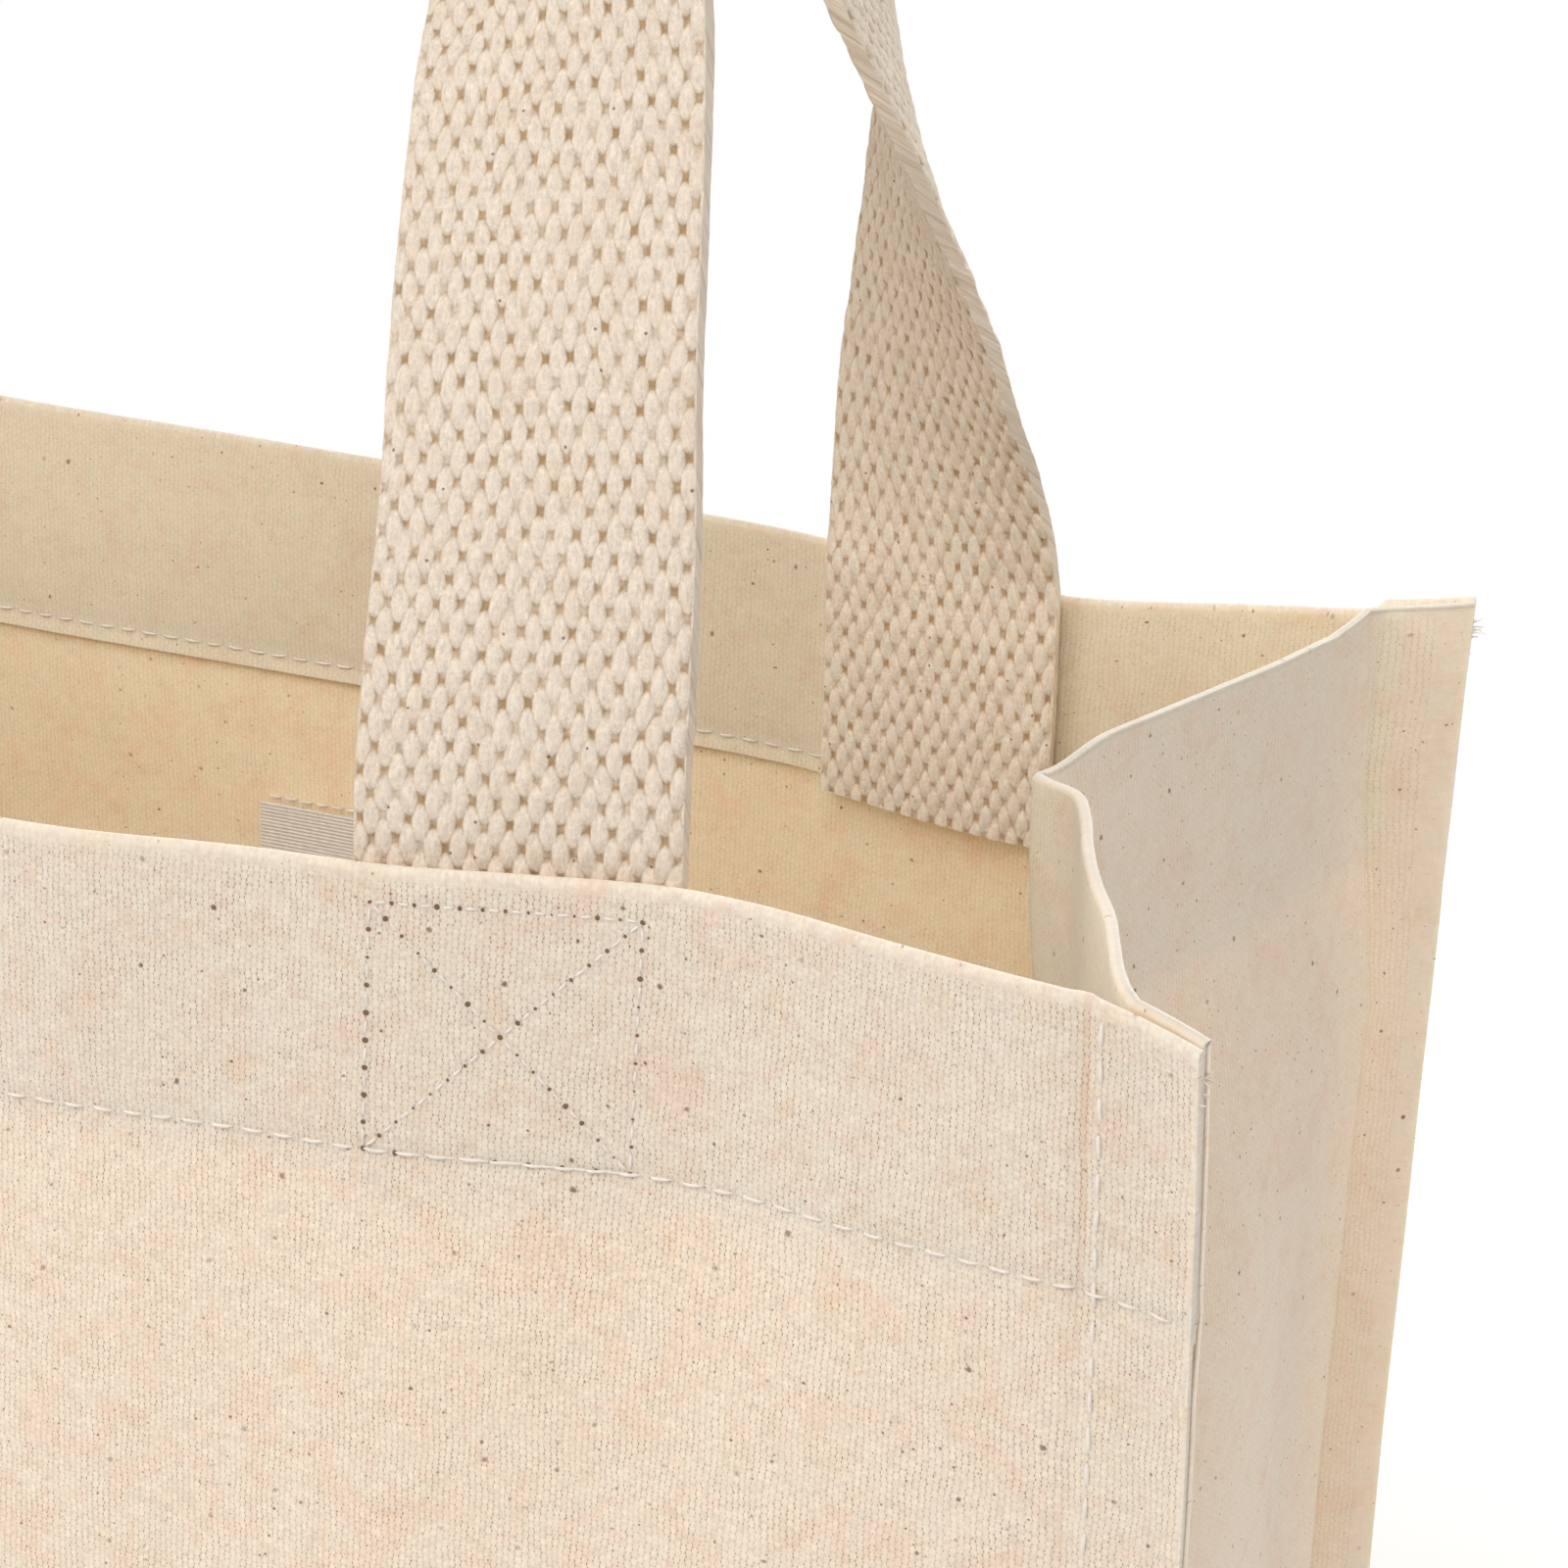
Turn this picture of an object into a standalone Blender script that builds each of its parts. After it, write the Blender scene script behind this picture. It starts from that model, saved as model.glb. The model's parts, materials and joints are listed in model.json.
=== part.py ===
# Small canvas tote bag: a box of five cloth panels with two webbing handles.
# Metres, +Z up. The origin is on the ground under the middle of the bag, and the front looks along -Y.

import math

import bmesh
import bpy
import numpy
from mathutils import Matrix, Vector

# Body sizes
BODY_WIDTH = 0.250  # between the two corner seams of one panel
BODY_HEIGHT = 0.230  # along a panel, from the ground to the rim
BOTTOM_DEPTH = 0.127  # front to back on the ground, also the width of a side gusset
FOLD_DEPTH = 0.0208  # how far the crease of a side gusset folds in at the rim
CANVAS = 0.0009  # one layer of cloth
SEAM_FLANGE = 0.0104  # how far a corner seam's layers stand out beside the panel
SEAM_TURN = 0.0030  # where the gusset leaves the seam, outside the stitching
GAP = 0.0003  # air between two pieces that touch

# Hem sizes
HEM_STITCH = 0.0265  # rim to the line of stitching
HEM_MARGIN = 0.0020  # stitching to the folded edge of the hem

# Handle sizes
WEBBING_WIDTH = 0.030
WEBBING_THICKNESS = 0.0022
HANDLE_INSET = 0.035  # corner seam to the near edge of the webbing
SEWN_LENGTH = 0.0293  # webbing below the rim, inside the bag
HANDLE_DROP = 0.130  # rim to the top of the arch
ARCH_CLEARANCE = 0.0006  # each arch stops this far short of the middle of the bag
FOLD_OFFSET = 0.0027  # the webbing turns over the rim about a line this far outside its middle

# Thread sizes
THREAD_WIDTH = 0.0005
THREAD_HEIGHT = 0.0004
BOX_STITCH_WIDTH = 0.025
BOX_STITCH_DROP = 0.0026  # rim to the upper side of the stitched box
CORNER_STITCH = 0.0016  # corner seam to its topstitching
THREAD_END = 0.0020  # a row of stitching stops this far from the cloth's edge

# Care label sizes
LABEL_WIDTH = 0.022
LABEL_LENGTH = 0.036
LABEL_THICKNESS = 0.0004
LABEL_DROP = 0.046  # rim to the label's sewn edge
LABEL_THREAD_GAP = 0.0007  # sewn edge to its thread, so that the label can lift

# Shape shares
ARCH_POWER_SHARE = 2.6  # how square the shoulders of the arch are
FRONT_TWIST_POWER_SHARE = 5.0  # how late the front handle's webbing starts to turn on its way up
BACK_TWIST_POWER_SHARE = 1.1
FRONT_TWIST_END_SHARE = 1.0  # how far up its leg the front handle's turn ends
BACK_TWIST_END_SHARE = 0.5
FOLD_POWER_SHARE = 1.15  # how hollow each half of the folded gusset is
FADE_POWER_SHARE = 1.2  # how fast the fold fades towards the ground
ROUND_FOLD_SHARE = 1.0  # how much rounder the fold is on the ground than at the rim
GUSSET_ROW_SHARES = (0.0, 0.12, 0.25, 0.4, 0.55, 0.7, 0.82, 0.94, 1.0)
GUSSET_COLUMN_SHARES = (0.14, 0.28, 0.42, 0.56, 0.7, 0.84, 1.0)

# Counts
ARCH_SECTIONS = 56
ARCH_SAMPLES = 2000
WEBBING_COLUMNS = 3

# Sizes that follow
HALF_WIDTH = BODY_WIDTH / 2
DOUBLE_CANVAS = 2 * CANVAS
HEM_DEPTH = HEM_STITCH + HEM_MARGIN
MOUTH_DEPTH = 2 * math.sqrt((BOTTOM_DEPTH / 2) ** 2 - FOLD_DEPTH**2)  # front to back at the rim
PANEL_RUN_IN = (BOTTOM_DEPTH - MOUTH_DEPTH) / 2
PANEL_LEAN = math.asin(PANEL_RUN_IN / BODY_HEIGHT)
RIM_Z = BODY_HEIGHT * math.cos(PANEL_LEAN)
HEM_Z = BODY_HEIGHT - HEM_DEPTH
HEM_STEP_Z = HEM_Z + CANVAS
GUSSET_SEAM_Y = DOUBLE_CANVAS + GAP + CANVAS  # middle of the gusset's two layers in the seam
GUSSET_START_X = SEAM_TURN - CANVAS
GUSSET_START_Y = GUSSET_SEAM_Y + DOUBLE_CANVAS
LEG_X = HALF_WIDTH - HANDLE_INSET - WEBBING_WIDTH / 2
WEBBING_INNER_Y = DOUBLE_CANVAS + GAP + WEBBING_THICKNESS
WEBBING_MID_Y = WEBBING_INNER_Y - WEBBING_THICKNESS / 2
ARCH_LEAN = MOUTH_DEPTH / 2 - WEBBING_MID_Y - WEBBING_WIDTH / 2 - ARCH_CLEARANCE
THREAD_OUT = GAP + THREAD_HEIGHT


def colour(text):
    """One sRGB hex colour as the linear values that a shader takes."""
    channels = [int(text[i : i + 2], 16) / 255 for i in (1, 3, 5)]
    linear = [c / 12.92 if c <= 0.04045 else ((c + 0.055) / 1.055) ** 2.4 for c in channels]
    return (*linear, 1)


def cloth(name, hex_colour, roughness):
    """A plain cloth material."""
    material = bpy.data.materials.new(name)
    material.use_nodes = True
    shader = material.node_tree.nodes["Principled BSDF"]
    shader.inputs["Base Color"].default_value = colour(hex_colour)
    shader.inputs["Roughness"].default_value = roughness
    shader.inputs["Metallic"].default_value = 0
    return material


def add_object(name, mesh, material, parent=None):
    """Put a mesh in the scene under its node name."""
    thing = bpy.data.objects.new(name, mesh)
    thing.data.materials.append(material)
    bpy.context.collection.objects.link(thing)
    thing.parent = parent
    return thing


def add_empty(name, place, rotation, parent=None):
    """An axis or a frame that pieces hang from."""
    empty = bpy.data.objects.new(name, None)
    empty.location = place
    empty.rotation_euler = rotation
    bpy.context.collection.objects.link(empty)
    empty.parent = parent
    return empty


def thick_sheet(name, outer, inner, material, parent=None, smooth=False):
    """One closed solid between two grids of points, row by row, that face each other."""
    shape = bmesh.new()
    faces = [[[shape.verts.new(p) for p in row] for row in grid] for grid in (outer, inner)]
    rows = len(outer)
    columns = len(outer[0])
    for side in faces:
        for i in range(rows - 1):
            for j in range(columns - 1):
                shape.faces.new((side[i][j], side[i][j + 1], side[i + 1][j + 1], side[i + 1][j]))
    front, back = faces
    for i in (0, rows - 1):
        for j in range(columns - 1):
            shape.faces.new((front[i][j], front[i][j + 1], back[i][j + 1], back[i][j]))
    for j in (0, columns - 1):
        for i in range(rows - 1):
            shape.faces.new((front[i][j], front[i + 1][j], back[i + 1][j], back[i][j]))
    bmesh.ops.recalc_face_normals(shape, faces=shape.faces)
    mesh = bpy.data.meshes.new(name)
    shape.to_mesh(mesh)
    shape.free()
    if smooth:
        mesh.shade_smooth()
        mesh.set_sharp_from_angle(angle=math.radians(40))
    return add_object(name, mesh, material, parent)


def block(name, low, high, material, parent=None):
    """A box between two corners."""
    shape = bmesh.new()
    size = Vector(high) - Vector(low)
    place = Matrix.Translation((Vector(low) + Vector(high)) / 2) @ Matrix.Diagonal((*size, 1))
    bmesh.ops.create_cube(shape, size=1, matrix=place)
    mesh = bpy.data.meshes.new(name)
    shape.to_mesh(mesh)
    shape.free()
    return add_object(name, mesh, material, parent)


def prisms(name, outlines, y_low, y_high, parent=None):
    """Upright prisms along Y in one hidden cutter."""
    shape = bmesh.new()
    for outline in outlines:
        near = [shape.verts.new((x, y_low, z)) for x, z in outline]
        far = [shape.verts.new((x, y_high, z)) for x, z in outline]
        shape.faces.new(near)
        shape.faces.new(far)
        for i in range(len(outline)):
            k = (i + 1) % len(outline)
            shape.faces.new((near[i], near[k], far[k], far[i]))
    bmesh.ops.recalc_face_normals(shape, faces=shape.faces)
    mesh = bpy.data.meshes.new(name)
    shape.to_mesh(mesh)
    shape.free()
    cutter = bpy.data.objects.new(name, mesh)
    bpy.context.collection.objects.link(cutter)
    cutter.parent = parent
    cutter.hide_render = True
    cutter.display_type = "WIRE"
    return cutter


def cut(thing, cutter):
    """Take the cutter's shape out of a piece."""
    boolean = thing.modifiers.new("cut", "BOOLEAN")
    boolean.operation = "DIFFERENCE"
    boolean.solver = "EXACT"
    boolean.object = cutter


def panel(name, material, frame):
    """Front or back panel: one layer, doubled in the hem and in the two corner seams."""
    tip = HALF_WIDTH + SEAM_FLANGE
    step = HALF_WIDTH - CANVAS
    columns = (-tip, -HALF_WIDTH, -step, -LEG_X, 0, LEG_X, step, HALF_WIDTH, tip)
    rows = (0, BODY_HEIGHT / 2, HEM_Z, HEM_STEP_Z, BODY_HEIGHT)
    outer = [[(x, 0, z) for x in columns] for z in rows]
    inner = []
    for z in rows:
        doubled_row = z >= HEM_STEP_Z
        depths = [DOUBLE_CANVAS if doubled_row or abs(x) >= HALF_WIDTH else CANVAS for x in columns]
        inner.append([(x, depth, z) for x, depth in zip(columns, depths)])
    return thick_sheet(name, outer, inner, material, frame)


def gusset_path(z):
    """Plan of a side gusset at one height: its middle line from the front seam to the back one.

    x counts outward from the corner seam and y from the middle of the bag.
    """
    share = z / RIM_Z
    half_depth = BOTTOM_DEPTH / 2 - PANEL_RUN_IN * share
    fold = FOLD_DEPTH * share**FADE_POWER_SHARE
    roundness = 1 + ROUND_FOLD_SHARE * (1 - share)
    path = [
        (SEAM_FLANGE, GUSSET_SEAM_Y - half_depth),
        (SEAM_TURN, GUSSET_SEAM_Y - half_depth),
        (GUSSET_START_X, GUSSET_START_Y - half_depth),
    ]
    start = Vector(path[-1])
    middle = Vector((-fold, 0))
    for column in GUSSET_COLUMN_SHARES:
        inward = 1 - (1 - column**FOLD_POWER_SHARE) ** roundness
        x = start.x + (middle.x - start.x) * inward
        path.append((x, start.y * (1 - column)))
    return path + [(x, -y) for x, y in reversed(path[:-1])]


def offset(path, distances):
    """The path moved sideways, each point by its own distance, with mitred corners."""
    points = [Vector(p) for p in path]
    moved = []
    for i, point in enumerate(points):
        before = (point - points[max(i - 1, 0)]).normalized()
        after = (points[min(i + 1, len(points) - 1)] - point).normalized()
        if i == 0:
            before = after
        if i == len(points) - 1:
            after = before
        normal = Vector((-before.y - after.y, before.x + after.x)).normalized()
        reach = distances[i] / max(normal.dot(Vector((-after.y, after.x))), 0.5)
        moved.append(point + normal * reach)
    return moved


def gusset(name, side, material):
    """Side gusset on one side, +1 right and -1 left: folded in at the rim, flat on the ground."""
    rows = [share * (RIM_Z - HEM_DEPTH) for share in GUSSET_ROW_SHARES]
    rows += [RIM_Z - HEM_DEPTH + CANVAS, RIM_Z]
    outer = []
    inner = []
    for i, z in enumerate(rows):
        path = gusset_path(z)
        doubled_row = i >= len(GUSSET_ROW_SHARES)
        outside = []
        inside = []
        for j in range(len(path)):
            in_seam = min(j, len(path) - 1 - j) < 2
            outside.append(-CANVAS if in_seam else -CANVAS / 2)
            inside.append(CANVAS if in_seam else CANVAS / 2 + (CANVAS if doubled_row else 0))
        for grid, distances in ((outer, outside), (inner, inside)):
            grid.append([(side * (HALF_WIDTH + p.x), p.y, z) for p in offset(path, distances)])
    return thick_sheet(name, outer, inner, material)


def gusset_thread(name, side, material):
    """The row of hem stitching on the outer face of a gusset."""
    path = gusset_path(RIM_Z - HEM_STITCH)
    near = offset(path, [-CANVAS / 2 - GAP] * len(path))[3:-3]
    far = offset(path, [-CANVAS / 2 - THREAD_OUT] * len(path))[3:-3]
    grids = []
    for points in (far, near):
        rows = []
        for z in (RIM_Z - HEM_STITCH - THREAD_WIDTH / 2, RIM_Z - HEM_STITCH + THREAD_WIDTH / 2):
            rows.append([(side * (HALF_WIDTH + p.x), p.y, z) for p in points])
        grids.append(rows)
    return thick_sheet(name, grids[0], grids[1], material)


def bottom_panel(material):
    """The bottom lies on the ground between the walls."""
    half_x = HALF_WIDTH - CANVAS / 2 - GAP
    half_y = BOTTOM_DEPTH / 2 - CANVAS - GAP
    return block("bottom_panel", (-half_x, -half_y, 0), (half_x, half_y, CANVAS), material)


def bottom_seam_thread(material):
    """The thread that runs round the inside of the bottom seam."""
    half_x = HALF_WIDTH - CANVAS / 2 - 2 * GAP
    half_y = BOTTOM_DEPTH / 2 - CANVAS - 2 * GAP
    low = CANVAS + GAP
    high = low + THREAD_HEIGHT
    corners = ((-1, -1), (1, -1), (1, 1), (-1, 1), (-1, -1))
    shape = bmesh.new()
    loops = []
    for z in (low, high):
        for width in (0, THREAD_WIDTH):
            x = half_x - width
            y = half_y - width
            loops.append([shape.verts.new((sx * x, sy * y, z)) for sx, sy in corners[:4]])
    around = ((loops[0], loops[1]), (loops[1], loops[3]), (loops[3], loops[2]), (loops[2], loops[0]))
    for first, second in around:
        for i in range(4):
            k = (i + 1) % 4
            shape.faces.new((first[i], first[k], second[k], second[i]))
    bmesh.ops.recalc_face_normals(shape, faces=shape.faces)
    mesh = bpy.data.meshes.new("bottom_seam_thread")
    shape.to_mesh(mesh)
    shape.free()
    return add_object("bottom_seam_thread", mesh, material)


def box_stitch(name, x_middle, material, frame):
    """The stitched box and cross that hold one end of a handle, as one flat piece of thread."""
    left = x_middle - BOX_STITCH_WIDTH / 2
    right = x_middle + BOX_STITCH_WIDTH / 2
    high = BODY_HEIGHT - BOX_STITCH_DROP
    low = BODY_HEIGHT - HEM_STITCH + THREAD_WIDTH + GAP
    plate = block(name, (left, -THREAD_OUT, low), (right, -GAP, high), material, frame)
    centre = Vector((x_middle, (low + high) / 2))
    corners = [Vector(c) for c in ((left, low), (right, low), (right, high), (left, high))]
    windows = []
    for i in range(4):
        first, second = corners[i], corners[(i + 1) % 4]
        triangle = (first, second, centre)
        opposite = [(triangle[k - 1] - triangle[k - 2]).length for k in range(3)]
        inradius = abs((first - second).cross(centre - second)) / sum(opposite)
        middle = sum((p * side for p, side in zip(triangle, opposite)), Vector((0, 0))) / sum(opposite)
        scale = 1 - THREAD_WIDTH / inradius
        windows.append([tuple(middle + (p - middle) * scale) for p in triangle])
    cutter = prisms(f"{name}_windows", windows, -THREAD_OUT - GAP, 0, frame)
    cut(plate, cutter)
    return plate


def sewn_end(name, x_middle, material, frame):
    """The end of a handle that is sewn flat inside the rim."""
    half = WEBBING_WIDTH / 2
    low = (x_middle - half, DOUBLE_CANVAS + GAP, BODY_HEIGHT - SEWN_LENGTH)
    high = (x_middle + half, WEBBING_INNER_Y, BODY_HEIGHT)
    return block(name, low, high, material, frame)


def arch_line():
    """Middle line of a handle from its right foot over the top to its left foot, about its fold line."""
    angles = numpy.linspace(0, 1, ARCH_SAMPLES) ** 2 * (math.pi / 2)
    height = numpy.sin(angles) ** (2 / ARCH_POWER_SHARE)
    x = LEG_X * numpy.cos(angles)
    y = FOLD_OFFSET + ARCH_LEAN * (3 * height**2 - 2 * height**3)
    z = GAP + (HANDLE_DROP - GAP) * height
    half = numpy.stack([x, y, z], axis=1)
    line = numpy.concatenate([half, half[-2::-1] * (-1, 1, 1)])
    steps = numpy.linalg.norm(numpy.diff(line, axis=0), axis=1)
    travel = numpy.concatenate([[0], numpy.cumsum(steps)])
    places = numpy.linspace(0, travel[-1], ARCH_SECTIONS + 1)
    return numpy.stack([numpy.interp(places, travel, line[:, k]) for k in range(3)], axis=1)


def front_turn(climb):
    """The front handle's outer edge swings outward, and late."""
    share = min(climb / FRONT_TWIST_END_SHARE, 1)
    return -math.pi / 2 * math.sin(math.pi / 2 * share) ** FRONT_TWIST_POWER_SHARE


def back_turn(climb):
    """The back handle's outer edge swings inward, and is square to the wall half way up."""
    share = min(climb / BACK_TWIST_END_SHARE, 1)
    return math.pi / 2 * math.sin(math.pi / 2 * share) ** BACK_TWIST_POWER_SHARE


def handle(name, material, axis, turning):
    """The free arch of a handle: webbing that turns a quarter round on its way up each leg."""
    line = [Vector(p) for p in arch_line()]
    inward = Vector((0, 1, 0))
    outer = []
    inner = []
    for i, point in enumerate(line):
        along = (line[min(i + 1, ARCH_SECTIONS)] - line[max(i - 1, 0)]).normalized()
        if i in (0, ARCH_SECTIONS):
            along = Vector((0, 0, 1 if i == 0 else -1))
        level = (inward - along * along.dot(inward)).normalized()
        beside = level.cross(along)
        climb = 1 - abs(1 - 2 * i / ARCH_SECTIONS)
        turn = turning(climb)
        across = beside * math.cos(turn) + level * math.sin(turn)
        through = along.cross(across)
        places = [WEBBING_WIDTH * (k / (WEBBING_COLUMNS - 1) - 1 / 2) for k in range(WEBBING_COLUMNS)]
        outer.append([point + across * s - through * WEBBING_THICKNESS / 2 for s in places])
        inner.append([point + across * s + through * WEBBING_THICKNESS / 2 for s in places])
    return thick_sheet(name, outer, inner, material, axis, smooth=True)


def wall_pieces(prefix, turned, canvas, webbing, thread):
    """One panel with all that is sewn to it. turned is 0 for the front and half a turn for the back."""
    out = -1 if turned == 0 else 1
    frame = add_empty(f"{prefix}_frame", (0, out * BOTTOM_DEPTH / 2, 0), (0, 0, turned))
    plane = add_empty(f"{prefix}_plane", (0, 0, 0), (-PANEL_LEAN, 0, 0), frame)
    panel(f"{prefix}_panel", canvas, plane)
    stitch_z = BODY_HEIGHT - HEM_STITCH
    block(
        f"{prefix}_hem_thread",
        (-HALF_WIDTH + THREAD_END, -THREAD_OUT, stitch_z - THREAD_WIDTH / 2),
        (HALF_WIDTH - THREAD_END, -GAP, stitch_z + THREAD_WIDTH / 2),
        thread,
        plane,
    )
    for name, local in (("right", -out), ("left", out)):
        sewn_end(f"{prefix}_handle_end_{name}", local * LEG_X, webbing, plane)
        box_stitch(f"{prefix}_box_stitch_{name}", local * LEG_X, thread, plane)
        stitch_x = local * (HALF_WIDTH + CORNER_STITCH)
        block(
            f"{prefix}_corner_thread_{name}",
            (stitch_x - THREAD_WIDTH / 2, -THREAD_OUT, THREAD_END),
            (stitch_x + THREAD_WIDTH / 2, -GAP, BODY_HEIGHT - THREAD_END),
            thread,
            plane,
        )
    foot = (0, WEBBING_MID_Y - FOLD_OFFSET, BODY_HEIGHT)
    axis = add_empty(f"{prefix}_handle_axis", foot, (PANEL_LEAN, 0, 0), plane)
    handle(f"{prefix}_handle", webbing, axis, front_turn if turned == 0 else back_turn)
    return plane


def care_label(ribbon, thread, plane):
    """A plain ribbon label, sewn along its upper edge to the inner face of the back panel."""
    top = BODY_HEIGHT - LABEL_DROP
    axis = add_empty("care_label_axis", (0, CANVAS + GAP, top), (0, 0, 0), plane)
    half = LABEL_WIDTH / 2
    block("care_label", (-half, 0, -LABEL_LENGTH), (half, LABEL_THICKNESS, 0), ribbon, axis)
    low = top + LABEL_THREAD_GAP
    block(
        "label_thread",
        (-half, CANVAS + GAP, low),
        (half, CANVAS + THREAD_OUT, low + THREAD_WIDTH),
        thread,
        plane,
    )


def main():
    for old in list(bpy.data.objects):
        bpy.data.objects.remove(old)
    canvas = cloth("natural cotton canvas", "#e4d2bf", 0.9)
    webbing = cloth("cotton webbing", "#dccbb8", 0.85)
    thread = cloth("cotton sewing thread", "#efe6da", 0.7)
    ribbon = cloth("label ribbon", "#cdb89d", 0.6)
    wall_pieces("front", 0, canvas, webbing, thread)
    back_plane = wall_pieces("back", math.pi, canvas, webbing, thread)
    care_label(ribbon, thread, back_plane)
    bottom_panel(canvas)
    bottom_seam_thread(thread)
    for name, side in (("right", 1), ("left", -1)):
        gusset(f"{name}_gusset", side, canvas)
        gusset_thread(f"{name}_gusset_hem_thread", side, thread)


main()
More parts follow.
